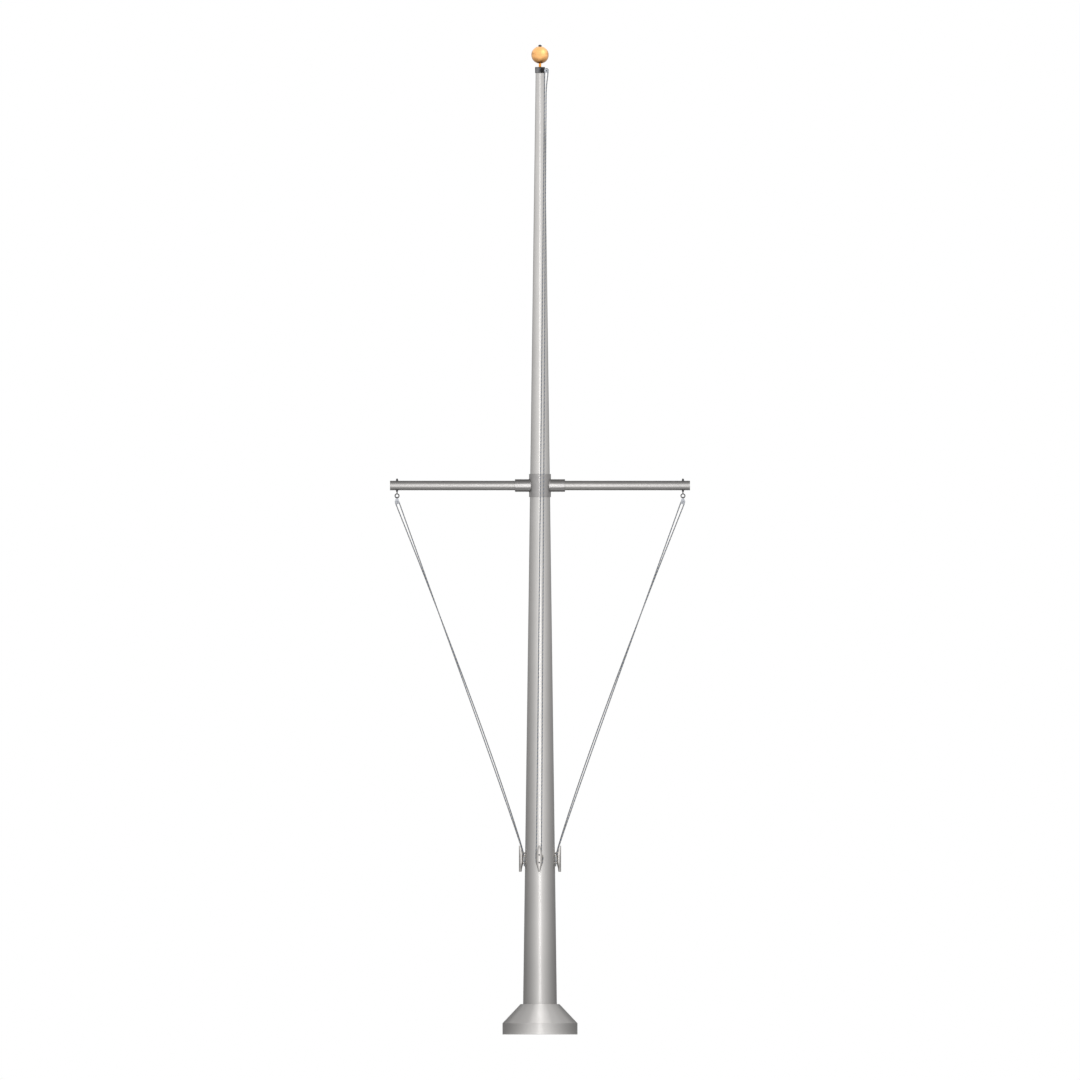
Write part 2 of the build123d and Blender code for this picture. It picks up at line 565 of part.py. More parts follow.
def make_cleat(name, angle):
    """Two-footed cleat: a full middle that tapers to two horns, saddled to the pole."""
    facing = (cos(radians(angle)), sin(radians(angle)), 0)
    surface = pole_radius(CLEAT_HEIGHT)
    half = CLEAT_LENGTH / 2
    # Height above the middle, depth and width of the bar, from one tip to the middle.
    horn = [
        (half, CLEAT_TIP_DEPTH * 0.86, CLEAT_TIP_WIDTH * 0.78),
        (half * 0.96, CLEAT_TIP_DEPTH, CLEAT_TIP_WIDTH),
        (half * 0.66, CLEAT_TIP_DEPTH + CLEAT_BAR_DEPTH * 0.13, CLEAT_WIDTH * 0.62),
        (half * 0.36, CLEAT_BAR_DEPTH * 0.96, CLEAT_WIDTH * 0.93),
    ]
    middle = [(0, CLEAT_BAR_DEPTH, CLEAT_WIDTH)]
    other_horn = [(-up, depth, width) for up, depth, width in reversed(horn)]
    with BuildPart() as cleat:
        for up, depth, width in horn + middle + other_horn:
            out = surface + CLEAT_REACH - depth / 2
            origin = (out * facing[0], out * facing[1], CLEAT_HEIGHT + up)
            with BuildSketch(Plane(origin=origin, x_dir=facing, z_dir=(0, 0, 1))):
                Ellipse(depth / 2, width / 2)
        loft()
        for up in CLEAT_FEET:
            with BuildSketch(cleat_plane(angle, up, surface - CLEAT_FOOT_DIAMETER / 2)):
                Circle(CLEAT_FOOT_DIAMETER / 2)
            extrude(amount=CLEAT_FOOT_DIAMETER / 2 + CLEAT_WEB_GAP + CLEAT_BAR_DEPTH / 2)
        with BuildSketch(Plane.XZ):
            with BuildLine():
                low, high = CLEAT_HEIGHT - CLEAT_LENGTH, CLEAT_HEIGHT + CLEAT_LENGTH
                Polyline(
                    (0, low),
                    (pole_radius(low) + SEAT_GAP, low),
                    (pole_radius(high) + SEAT_GAP, high),
                    (0, high),
                    close=True,
                )
            make_face()
        revolve(axis=Axis.Z, mode=Mode.SUBTRACT)
        for up in CLEAT_FEET:
            with BuildSketch(cleat_plane(angle, up, surface / 2)):
                Circle(CLEAT_SCREW_DIAMETER / 2 + SEAT_GAP)
            extrude(amount=surface, mode=Mode.SUBTRACT)
            with BuildSketch(cleat_plane(angle, up, surface + CLEAT_REACH - CLEAT_SCREW_RECESS)):
                Circle(CLEAT_SCREW_HEAD_DIAMETER / 2 + SEAT_GAP)
            extrude(amount=CLEAT_SCREW_RECESS, mode=Mode.SUBTRACT)
    save(cleat, f"cleat_{name}")

    with BuildPart() as screws:
        for up in CLEAT_FEET:
            head = cleat_plane(angle, up, surface + CLEAT_REACH - CLEAT_SCREW_RECESS)
            with BuildSketch(head):
                Circle(CLEAT_SCREW_HEAD_DIAMETER / 2)
            extrude(amount=CLEAT_SCREW_HEAD_DEPTH)
            with BuildSketch(head):
                Circle(CLEAT_SCREW_DIAMETER / 2)
            extrude(amount=-(CLEAT_REACH - CLEAT_SCREW_RECESS + CLEAT_SCREW_BITE))
    save(screws, f"cleat_screws_{name}")


# ---- Halyards ----


def over_sheave(x, y, z, first, wrap):
    """Three corners of a rope's route round a sheave that turns about Y.

    The rope meets the sheave at the angle first, in degrees from +X towards +Z, and goes
    round it by wrap degrees, which is negative towards +Z."""
    third = wrap / 3
    reach = SHEAVE_PITCH_RADIUS / cos(radians(third / 2))
    angles = [radians(first - third * (step + 0.5)) for step in range(3)]
    return [(x + reach * cos(angle), y, z + reach * sin(angle)) for angle in angles]


def under_foot(radius, side):
    """Three corners, across and up, under the cleat's lower foot from one side to the other."""
    rise = radius * tan(radians(30))
    drop = radius / cos(radians(30))
    low = CLEAT_FEET[0]
    return [(side * radius, low - rise), (0, low - drop), (-side * radius, low - rise)]


def inner_turn(side):
    """The first turn of a hitch, from its tail over the upper foot to its way out."""
    far = (-side * HITCH_INNER_RADIUS, CLEAT_FEET[1] + HITCH_INNER_RADIUS * tan(radians(30)))
    tail = (side * INNER_TAIL[0], INNER_TAIL[1])
    return [tail, far] + under_foot(HITCH_INNER_RADIUS, -side)


def outer_turn(side):
    """The second turn, outside the first, from its way in to its tail."""
    return under_foot(HITCH_OUTER_RADIUS, -side) + [(side * OUTER_TAIL[0], OUTER_TAIL[1])]


def at_cleat(angle, points):
    """Points of a hitch, across and up from a cleat's middle, laid close to the pole."""
    out = pole_radius(CLEAT_HEIGHT) + HITCH_LIFT
    ca, sa = cos(radians(angle)), sin(radians(angle))
    return [(out * ca - u * sa, out * sa + u * ca, CLEAT_HEIGHT + v) for u, v in points]


def corner_radii(points):
    """The largest arcs that the runs on both sides of each corner allow."""
    radii = []
    for before, corner, after in zip(points, points[1:], points[2:]):
        run_in = Vector(*corner) - Vector(*before)
        run_out = Vector(*after) - Vector(*corner)
        half_turn = radians(run_in.get_angle(run_out)) / 2
        radii.append(0.45 * min(run_in.length, run_out.length) / tan(half_turn))
    return radii


def make_halyard(name, points):
    """One rope: a tube along straight runs joined by tangent arcs."""
    radii = corner_radii(points)
    with BuildPart() as rope:
        with BuildLine() as path:
            FilletPolyline(*points, radius=radii)
        route = path.wire()
        with BuildSketch(Plane(origin=route @ 0, z_dir=route % 0)):
            Circle(ROPE_RADIUS)
        sweep(path=route)
    expected = pi * ROPE_RADIUS**2 * route.length
    print(name, "length", round(route.length), "radii", [round(radius, 1) for radius in radii])
    print(name, "volume against section times length", round(rope.part.volume / expected, 5))
    save(rope, name)


def make_side_halyard(name, side):
    """Halyard of one yardarm end: cleat, block and back to the cleat."""
    angle = CLEAT_ANGLES[name]
    near = -side
    start = 90 + side * (90 - YARD_TAUT_LEAN)
    wrap = side * (180 + YARD_SLACK_LEAN - YARD_TAUT_LEAN)
    block = over_sheave(side * EYE_OFFSET, 0, BLOCK_CENTRE, start, wrap)
    slack_fall = [(side * x, y, z) for x, y, z in YARD_SLACK_FALL]
    up = inner_turn(near) + [(near * INNER_ENTRY[0], INNER_ENTRY[1])]
    down = [(near * OUTER_ENTRY[0], OUTER_ENTRY[1])] + outer_turn(near)
    make_halyard(f"halyard_{name}", at_cleat(angle, up) + block + slack_fall + at_cleat(angle, down))


def make_main_halyard():
    """Halyard of the pole's head: front cleat, truck and back to the cleat."""
    truck = over_sheave(
        TRUCK_SHEAVE_X, TRUCK_SHEAVE_Y, TRUCK_SHEAVE_Z, -MAIN_FALL_LEAN, -180 - MAIN_FALL_LEAN
    )
    up = at_cleat(FRONT_CLEAT_ANGLE, inner_turn(1) + [FRONT_INNER_ENTRY])
    down = at_cleat(FRONT_CLEAT_ANGLE, FRONT_OUTER_ENTRY + outer_turn(1))
    make_halyard("halyard_main", up + [FRONT_INNER_FALL] + truck + down)


make_base_plate()
make_base_cover()
make_pole()
make_yardarm_sleeve()
for side_name, side_sign in SIDES.items():
    make_yardarm(side_name, side_sign)
    make_eye_bolt(side_name, side_sign)
    make_block(side_name, side_sign)
    make_side_halyard(side_name, side_sign)
make_truck()
make_finial()
for cleat_name, cleat_angle in CLEAT_ANGLES.items():
    make_cleat(cleat_name, cleat_angle)
make_main_halyard()
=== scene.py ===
"""Looks for a tapered aluminium flagpole: yardarm, three halyards, truck, gold ball, base cover.

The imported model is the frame, and its nodes get their finishes here. The turned and spun parts,
the collar's weld beads, the ball with its seam, and the laid ropes with their whippings are
modelled here and stand in for their nodes.
"""

import logging
import math
from collections.abc import Callable
from dataclasses import dataclass
from enum import Enum

import bmesh
import bpy
import numpy as np
from mathutils import Matrix, Vector


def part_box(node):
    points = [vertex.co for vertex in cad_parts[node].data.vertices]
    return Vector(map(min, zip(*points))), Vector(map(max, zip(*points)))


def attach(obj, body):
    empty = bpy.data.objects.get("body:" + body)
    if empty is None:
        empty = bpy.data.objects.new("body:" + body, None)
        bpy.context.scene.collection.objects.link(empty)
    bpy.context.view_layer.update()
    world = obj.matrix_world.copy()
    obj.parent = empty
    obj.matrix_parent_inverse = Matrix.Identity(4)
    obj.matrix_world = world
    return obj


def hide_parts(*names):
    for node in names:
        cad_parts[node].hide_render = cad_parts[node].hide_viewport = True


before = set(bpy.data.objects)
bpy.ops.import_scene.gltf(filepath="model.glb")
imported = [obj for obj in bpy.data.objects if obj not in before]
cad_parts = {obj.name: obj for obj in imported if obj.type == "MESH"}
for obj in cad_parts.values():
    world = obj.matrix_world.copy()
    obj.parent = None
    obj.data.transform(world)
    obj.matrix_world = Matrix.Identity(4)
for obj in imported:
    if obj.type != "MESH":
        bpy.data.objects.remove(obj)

LOG = logging.getLogger("flagpole")
MM = 0.001
MAST = "mast"
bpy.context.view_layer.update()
Point = tuple[float, float, float]
FlatPoint = tuple[float, float]
Tree = bpy.types.NodeTree
Socket = bpy.types.NodeSocket

# Middles of the truck's sheave and of the right arm's sheave, and the radius of their grooves.
TRUCK_SHEAVE = (0.058, -0.063, 8.484)
BLOCK_SHEAVE = (1.258, 0.0, 4.686)
GROOVE_RADIUS = 0.016


class Side(Enum):
    """Which arm of the yardarm a piece belongs to, with the sign of its X."""

    LEFT = -1
    RIGHT = 1

    @property
    def word(self) -> str:
        """The side's word in the node names."""
        return self.name.lower()


class Grain(Enum):
    """The way the marks of a metal finish run, as the stretch of its noise along X, Y and Z."""

    ROUND_Z = (1.0, 1.0, 12.0)
    ROUND_X = (12.0, 1.0, 1.0)
    NONE = (1.0, 1.0, 1.0)


# ---- Nodes and colours ----


def linear(colour: str) -> tuple[float, float, float, float]:
    """Turn an sRGB hex colour to linear light.

    Args:
        colour: Six hex digits after a hash mark.

    Returns:
        Red, green, blue and an alpha of 1.
    """
    parts = [int(colour[i : i + 2], 16) / 255 for i in (1, 3, 5)]
    light = [p / 12.92 if p <= 0.04045 else ((p + 0.055) / 1.055) ** 2.4 for p in parts]
    return (*light, 1.0)


def add_node(
    tree: Tree,
    kind: str,
    inputs: dict[int | str, object] | None = None,
    stops: tuple[tuple[float, str], ...] = (),
    **settings: object,
) -> bpy.types.Node:
    """Add one node with its settings, socket values and links.

    Args:
        tree: The node tree.
        kind: The node's type.
        inputs: Values, or output sockets to link, by the input's name or number.
        stops: Places and hex colours of a colour ramp's two ends.
        settings: The node's own properties.

    Returns:
        The new node.
    """
    node = tree.nodes.new(kind)
    for name, value in settings.items():
        setattr(node, name, value)
    for key, value in (inputs or {}).items():
        if isinstance(value, Socket):
            tree.links.new(value, node.inputs[key])
        else:
            node.inputs[key].default_value = value
    for index, (place, colour) in enumerate(stops):
        stop = node.color_ramp.elements[index]
        stop.position = place
        stop.color = linear(colour)
    return node


def new_tree(name: str) -> tuple[bpy.types.Material, Tree]:
    """Make an empty node material.

    Args:
        name: The material's name.

    Returns:
        The material and its node tree.
    """
    material = bpy.data.materials.new(name)
    material.use_nodes = True
    material.node_tree.nodes.clear()
    return material, material.node_tree


# ---- Finishes ----


@dataclass(frozen=True)
class Metal:
    """A metal surface, by its colours and the marks that its making left.

    The tone drifts in clouds of a real size, the roughness has fine marks along the grain, and
    a low relief breaks up the gloss as sanding, casting or plating does. The coat is the clear
    sealed skin of an anodised part.
    """

    name: str
    tones: tuple[str, str]
    roughness: tuple[float, float]
    cloud_mm: float
    mark_mm: float
    relief_mm: float
    grain: Grain = Grain.NONE
    metallic: float = 1.0
    coat: float = 0.0
    coat_ior: float = 1.77
    coat_roughness: float = 0.3

    def tone(self, tree: Tree, place: Socket) -> Socket:
        """Colour that drifts between the two tones.

        Args:
            tree: The material's node tree.
            place: Object coordinates.

        Returns:
            The colour.
        """
        scale = 1 / (self.cloud_mm * MM)
        noise = {"Vector": place, "Scale": scale, "Detail": 3.0, "Roughness": 0.55}
        cloud = add_node(tree, "ShaderNodeTexNoise", noise).outputs["Fac"]
        stops = ((0.3, self.tones[0]), (0.7, self.tones[1]))
        return add_node(tree, "ShaderNodeValToRGB", {"Fac": cloud}, stops).outputs["Color"]

    def material(self) -> bpy.types.Material:
        """Build the node material.

        Returns:
            The material.
        """
        material, tree = new_tree(self.name)
        place = add_node(tree, "ShaderNodeTexCoord").outputs["Object"]
        stretch = {"Vector": place, "Scale": self.grain.value}
        stretched = add_node(tree, "ShaderNodeMapping", stretch).outputs["Vector"]
        scale = 1 / (self.mark_mm * MM * max(self.grain.value))
        noise = {"Vector": stretched, "Scale": scale, "Detail": 4.0}
        marks = add_node(tree, "ShaderNodeTexNoise", noise).outputs["Fac"]
        smooth, rough = self.roughness
        spread = {0: marks, 1: 0.3, 2: 0.7, 3: smooth, 4: rough}
        depth = {"Height": marks, "Strength": 0.5, "Distance": self.relief_mm * MM}
        inputs = {
            "Base Color": self.tone(tree, place),
            "Metallic": self.metallic,
            "Roughness": add_node(tree, "ShaderNodeMapRange", spread).outputs[0],
            "Normal": add_node(tree, "ShaderNodeBump", depth).outputs["Normal"],
            "Coat Weight": self.coat,
            "Coat IOR": self.coat_ior,
            "Coat Roughness": self.coat_roughness,
        }
        shader = add_node(tree, "ShaderNodeBsdfPrincipled", inputs)
        add_node(tree, "ShaderNodeOutputMaterial", {"Surface": shader.outputs[0]})
        return material


@dataclass(frozen=True)
class GroundMetal(Metal):
    """A dark metal that is ground bright round one point, as a casting is round its pin."""

    centre: Point = (0.0, 0.0, 0.0)
    reach_mm: float = 10.0
    bright: str = "#ffffff"

    def tone(self, tree: Tree, place: Socket) -> Socket:
        """The drifting colour, with the bright one near the centre.

        Args:
            tree: The material's node tree.
            place: Object coordinates.

        Returns:
            The colour.
        """
        ends = {0: place, 1: self.centre}
        away = add_node(tree, "ShaderNodeVectorMath", ends, operation="DISTANCE").outputs["Value"]
        reach = self.reach_mm * MM
        fade = {0: away, 1: reach - MM, 2: reach + MM, 3: 1.0, 4: 0.0}
        near = add_node(tree, "ShaderNodeMapRange", fade).outputs[0]
        tones = {"Factor": near, 6: super().tone(tree, place), 7: linear(self.bright)}
        return add_node(tree, "ShaderNodeMix", tones, data_type="RGBA").outputs[2]


@dataclass(frozen=True)
class Moulding:
    """An even colour with a soft sheen and a very fine orange peel, as moulded nylon has."""

    name: str
    tones: tuple[str, str]
    roughness: float
    peel_mm: float
    relief_mm: float = 0.05
    ior: float = 1.53

    def material(self) -> bpy.types.Material:
        """Build the node material.

        Returns:
            The material.
        """
        material, tree = new_tree(self.name)
        place = add_node(tree, "ShaderNodeTexCoord").outputs["Object"]
        noise = {"Vector": place, "Scale": 1 / (self.peel_mm * MM), "Detail": 2.0}
        peel = add_node(tree, "ShaderNodeTexNoise", noise).outputs["Fac"]
        stops = ((0.35, self.tones[0]), (0.65, self.tones[1]))
        depth = {"Height": peel, "Strength": 0.3, "Distance": self.relief_mm * MM}
        inputs = {
            "Base Color": add_node(tree, "ShaderNodeValToRGB", {"Fac": peel}, stops).outputs[0],
            "Roughness": self.roughness,
            "IOR": self.ior,
            "Normal": add_node(tree, "ShaderNodeBump", depth).outputs["Normal"],
        }
        shader = add_node(tree, "ShaderNodeBsdfPrincipled", inputs)
        add_node(tree, "ShaderNodeOutputMaterial", {"Surface": shader.outputs[0]})
        return material


@dataclass(frozen=True)
class LaidPolyester:
    """Three-strand polyester rope: one blue-grey strand, two off-white, yarns along the rope.

    The rope's UV map gives the way round it, turning with the strands, and the way along it.
    """

    name: str
    marker: tuple[str, str]
    plain: tuple[str, str]
    yarns: int
    rope_length: float
    lay: float
    yarn_contrast: float = 0.18
    fuzz_mm: float = 6.0
    relief_mm: float = 0.25
    roughness: float = 0.72
    sheen: float = 0.25
    ior: float = 1.5

    def material(self) -> bpy.types.Material:
        """Build the node material.

        Returns:
            The material.
        """
        material, tree = new_tree(self.name)
        uv = add_node(tree, "ShaderNodeUVMap", uv_map=RopeSweep.UV_NAME).outputs["UV"]
        split = add_node(tree, "ShaderNodeSeparateXYZ", {0: uv})
        along, share = split.outputs["X"], split.outputs["Y"]
        lays = {0: along, 1: self.rope_length / self.lay}
        turns = add_node(tree, "ShaderNodeMath", lays, operation="MULTIPLY").outputs[0]
        around = add_node(tree, "ShaderNodeMath", {0: share, 1: turns}, operation="ADD").outputs[0]
        yarns = {0: around, 1: self.yarns * 2 * math.pi}
        phase = add_node(tree, "ShaderNodeMath", yarns, operation="MULTIPLY").outputs[0]
        yarn = add_node(tree, "ShaderNodeMath", {0: phase}, operation="SINE").outputs[0]
        place = add_node(tree, "ShaderNodeTexCoord").outputs["Object"]
        noise = {"Vector": place, "Scale": 1 / (self.fuzz_mm * MM), "Detail": 3.0}
        fuzz = add_node(tree, "ShaderNodeTexNoise", noise).outputs["Fac"]
        both = {0: yarn, 1: self.yarn_contrast, 2: fuzz}
        mixed = add_node(tree, "ShaderNodeMath", both, operation="MULTIPLY_ADD").outputs[0]
        marker, plain = (
            add_node(tree, "ShaderNodeValToRGB", {"Fac": mixed}, ((0.3, dark), (0.7, pale)))
            for dark, pale in (self.marker, self.plain)
        )
        first = {0: share, 1: 1 / RopeSweep.STRANDS}
        is_marker = add_node(tree, "ShaderNodeMath", first, operation="LESS_THAN").outputs[0]
        strands = {"Factor": is_marker, 6: plain.outputs[0], 7: marker.outputs[0]}
        depth = {"Height": mixed, "Strength": 0.6, "Distance": self.relief_mm * MM}
        inputs = {
            "Base Color": add_node(tree, "ShaderNodeMix", strands, data_type="RGBA").outputs[2],
            "Roughness": self.roughness,
            "IOR": self.ior,
            "Sheen Weight": self.sheen,
            "Normal": add_node(tree, "ShaderNodeBump", depth).outputs["Normal"],
        }
        shader = add_node(tree, "ShaderNodeBsdfPrincipled", inputs)
        add_node(tree, "ShaderNodeOutputMaterial", {"Surface": shader.outputs[0]})
        return material


# The real marks of sanding, blasting and plating are too fine to show. The finishes draw them as
# coarse as they need to be, at the sizes in mark_mm, and peel_mm for the orange peel of nylon.

# Spun aluminium tube, sanded round the shaft to a satin: soft even bands of reflection.
SATIN_ALUMINIUM = Metal(
    "satin spun aluminium", ("#bab8b6", "#bfbdbb"), (0.3, 0.34),
    cloud_mm=420, mark_mm=2.5, relief_mm=0.003, grain=Grain.ROUND_Z,
)
# Extruded aluminium tube, sanded round like the shaft: the same soft bands on a greyer metal.
SATIN_TUBE = Metal(
    "satin extruded aluminium", ("#a9a7a5", "#adaba9"), (0.32, 0.36),
    cloud_mm=300, mark_mm=2.5, relief_mm=0.003, grain=Grain.ROUND_X,
)
# Sand-cast aluminium, shot-blasted: greyer and duller than tube, with a fine even tooth.
CAST_ALUMINIUM = Metal(
    "shot-blasted cast aluminium", ("#999796", "#9f9d9c"), (0.27, 0.31),
    cloud_mm=40, mark_mm=1.2, relief_mm=0.008,
)
# Cast aluminium cleats, tumbled after casting: paler, with a soft worn gloss.
TUMBLED_CASTING = Metal(
    "tumbled cast aluminium", ("#bdbab7", "#c6c3c0"), (0.3, 0.36),
    cloud_mm=25, mark_mm=1.5, relief_mm=0.02,
)
# Dark anodised casting of the truck's cap: charcoal with a satin gloss.
DARK_CASTING = Metal(
    "dark anodised casting", ("#424243", "#4a4a4b"), (0.3, 0.34),
    cloud_mm=30, mark_mm=1.2, relief_mm=0.004,
)
# The truck's fork: a near-black casting, ground bright round the pin where the sheave runs.
GROUND_FORK = GroundMetal(
    "dark casting with ground cheeks", ("#1e1e1f", "#262627"), (0.3, 0.34),
    cloud_mm=30, mark_mm=1.2, relief_mm=0.004,
    centre=TRUCK_SHEAVE, reach_mm=24, bright="#93979c",
)
# Black-oxide steel of eye bolts, nuts and screws: dark and a little oily.
DARK_STEEL = Metal(
    "black-oxide steel", ("#3c3c3d", "#515153"), (0.3, 0.42),
    cloud_mm=8, mark_mm=0.8, relief_mm=0.03, metallic=0.9,
)
# Hot-dip galvanised steel of the base plate and block shells: mottled blue-grey spangle.
GALVANISED = Metal(
    "hot-dip galvanised steel", ("#8d9097", "#b4b6ba"), (0.4, 0.52),
    cloud_mm=9, mark_mm=2.0, relief_mm=0.05, metallic=0.9,
)
# Ground stainless steel of the blocks' pins: smooth and brighter than the steel round it.
STAINLESS = Metal(
    "ground stainless steel", ("#77787a", "#858688"), (0.26, 0.34),
    cloud_mm=20, mark_mm=0.8, relief_mm=0.01,
)
# Gold-anodised spun aluminium: warm amber metal under a clear sealed skin.
GOLD_ANODISED = Metal(
    "gold-anodised aluminium", ("#f2b268", "#f4b670"), (0.36, 0.4),
    cloud_mm=60, mark_mm=1.5, relief_mm=0.001, coat=0.5,
)
# Gold-anodised turned rod of the spindle: a deeper orange than the ball.
GOLD_ROD = Metal(
    "gold-anodised rod", ("#f29b33", "#f5a43f"), (0.36, 0.4),
    cloud_mm=10, mark_mm=0.8, relief_mm=0.002,
)
# Natural grey nylon of the sheaves: pale, even and a little waxy.
SHEAVE_NYLON = Moulding("moulded nylon", ("#a9acb1", "#b2b5b9"), roughness=0.45, peel_mm=2.0)
# Waxed polyester twine of the whippings: warm off-white, duller than the sheaves.
TWINE = Moulding("waxed twine", ("#c9c5bc", "#dad6cd"), roughness=0.6, peel_mm=1.0)


# ---- Meshes ----


def add_piece(
    name: str, mesh: bmesh.types.BMesh, material: bpy.types.Material
) -> bpy.types.Object:
    """Turn a finished bmesh to an object that rides on the mast.

    Args:
        name: The piece's name.
        mesh: The shape, in place, in metres. It is freed.
        material: Its material.

    Returns:
        The new object.
    """
    bmesh.ops.recalc_face_normals(mesh, faces=mesh.faces)
    for face in mesh.faces:
        face.smooth = True
    data = bpy.data.meshes.new(name)
    mesh.to_mesh(data)
    mesh.free()
    data.materials.append(material)
    piece = bpy.data.objects.new(name, data)
    bpy.context.scene.collection.objects.link(piece)
    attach(piece, MAST)
    LOG.info("%s: %d faces", name, len(data.polygons))
    return piece


def keep_flats(piece: bpy.types.Object) -> None:
    """Let the large faces of a piece set its shading, so that only its small rounds curve."""
    weighted = piece.modifiers.new("flat faces stay flat", "WEIGHTED_NORMAL")
    weighted.mode, weighted.weight = "FACE_AREA", 50


@dataclass(frozen=True)
class Turning:
    """A ring turned about an axis from its closed section, as a lathe or a spinner makes it.

    Section points are (distance from the axis, way along it), in metres.
    """

    section: tuple[FlatPoint, ...]
    edge: float
    axis: str = "Z"
    centre: Point = (0.0, 0.0, 0.0)
    steps: int = 160

    def add_to(self, mesh: bmesh.types.BMesh) -> list[bmesh.types.BMVert]:
        """Turn the section into a bmesh.

        Args:
            mesh: The bmesh that gets the ring.

        Returns:
            The ring's vertices.
        """
        along_x = self.axis == "X"
        places = [Vector((way, 0, out) if along_x else (out, 0, way)) for out, way in self.section]
        centre = Vector(self.centre)
        corners = [mesh.verts.new(place + centre) for place in places]
        for pair in zip(corners, corners[1:] + corners[:1]):
            mesh.edges.new(pair)
        rounded = bmesh.ops.bevel(
            mesh, geom=corners, offset=self.edge, offset_type="OFFSET", segments=3, profile=0.5,
            material=-1, affect="VERTICES",
        )
        loop = self.connected(rounded["verts"][0])
        sides = list({side for vert in loop for side in vert.link_edges})
        axis = (1, 0, 0) if along_x else (0, 0, 1)
        bmesh.ops.spin(
            mesh, geom=loop + sides, cent=centre, axis=axis, angle=2 * math.pi, steps=self.steps,
            use_merge=True,
        )
        return self.connected(loop[0])

    @staticmethod
    def connected(start: bmesh.types.BMVert) -> list[bmesh.types.BMVert]:
        """Find all the vertices joined to one by edges.

        Args:
            start: The first vertex.

        Returns:
            The vertices, with the first one.
        """
        found, fresh = {start}, [start]
        while fresh:
            near = {side.other_vert(vert) for vert in fresh for side in vert.link_edges}
            fresh = list(near - found)
            found |= near
        return list(found)


def dress(nodes: list[str], finish: Metal | Moulding) -> None:
    """Give CAD nodes one finish.

    Args:
        nodes: Names of the nodes.
        finish: The finish, whose material they share.
    """
    material = finish.material()
    for name in nodes:
        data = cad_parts[name].data
        data.materials.clear()
        data.materials.append(material)
        LOG.info("%s: %s", name, finish.name)


@dataclass
class RopeSweep:
    """A skin swept along a line, ring by ring, turning as a laid rope's strands do."""

    line: list[Vector]
    ring_step: float
    ring_points: int
    lay: float = 0.0

    UV_NAME = "Rope"
    STRANDS = 3
    SAME_PLACE = 1e-7

    def stations(self) -> tuple[np.ndarray, np.ndarray, float]:
        """Even stations along the line.

        Returns:
            Their places, the tangents there and the line's length.
        """
        raw = np.array(self.line)
        gaps = np.linalg.norm(np.diff(raw, axis=0), axis=1)
        raw = raw[np.concatenate(([True], gaps > self.SAME_PLACE))]
        along = np.concatenate(([0], np.cumsum(np.linalg.norm(np.diff(raw, axis=0), axis=1))))
        count = max(2, round(along[-1] / self.ring_step)) + 1
        even = np.linspace(0, along[-1], count)
        places = np.stack([np.interp(even, along, raw[:, axis]) for axis in range(3)], axis=1)
        tangents = np.gradient(places, axis=0)
        tangents /= np.linalg.norm(tangents, axis=1)[:, None]
        return places, tangents, float(along[-1])

    def build(self, radius: Callable[[float, float], float]) -> bmesh.types.BMesh:
        """Sweep the skin.

        Args:
            radius: A function of the turn from 0 to 1 and the way along in metres that gives
                the distance from the line, in metres.

        Returns:
            A closed bmesh with the UV map that the rope material reads.
        """
        places, tangents, length = self.stations()
        rings, points = len(places), self.ring_points
        mesh = bmesh.new()
        mesh.loops.layers.uv.new(self.UV_NAME)
        bmesh.ops.create_grid(mesh, x_segments=rings - 1, y_segments=points, size=1, calc_uvs=True)
        side = Vector(tangents[0]).orthogonal().normalized()
        sides = []
        for tangent in tangents:
            side = (side - Vector(tangent) * side.dot(Vector(tangent))).normalized()
            sides.append(side)
        sides = np.array(sides)
        ups = np.cross(tangents, sides)
        seam: dict[int, list] = {}
        for vert in mesh.verts:
            ring = round((vert.co.x + 1) / 2 * (rings - 1))
            turn = round((vert.co.y + 1) / 2 * points)
            way = length * ring / (rings - 1)
            share = (turn % points) / points
            angle = 2 * math.pi * (share + (way / self.lay if self.lay else 0))
            out = radius(share, way)
            offset = sides[ring] * math.cos(angle) + ups[ring] * math.sin(angle)
            vert.co = places[ring] + out * offset
            if turn in (0, points):
                seam.setdefault(ring, []).append(vert)
        bmesh.ops.weld_verts(mesh, targetmap={pair[0]: pair[1] for pair in seam.values()})
        ends = [edge for edge in mesh.edges if edge.is_boundary]
        bmesh.ops.holes_fill(mesh, edges=ends, sides=0)
        return mesh


# ---- Pole and base ----


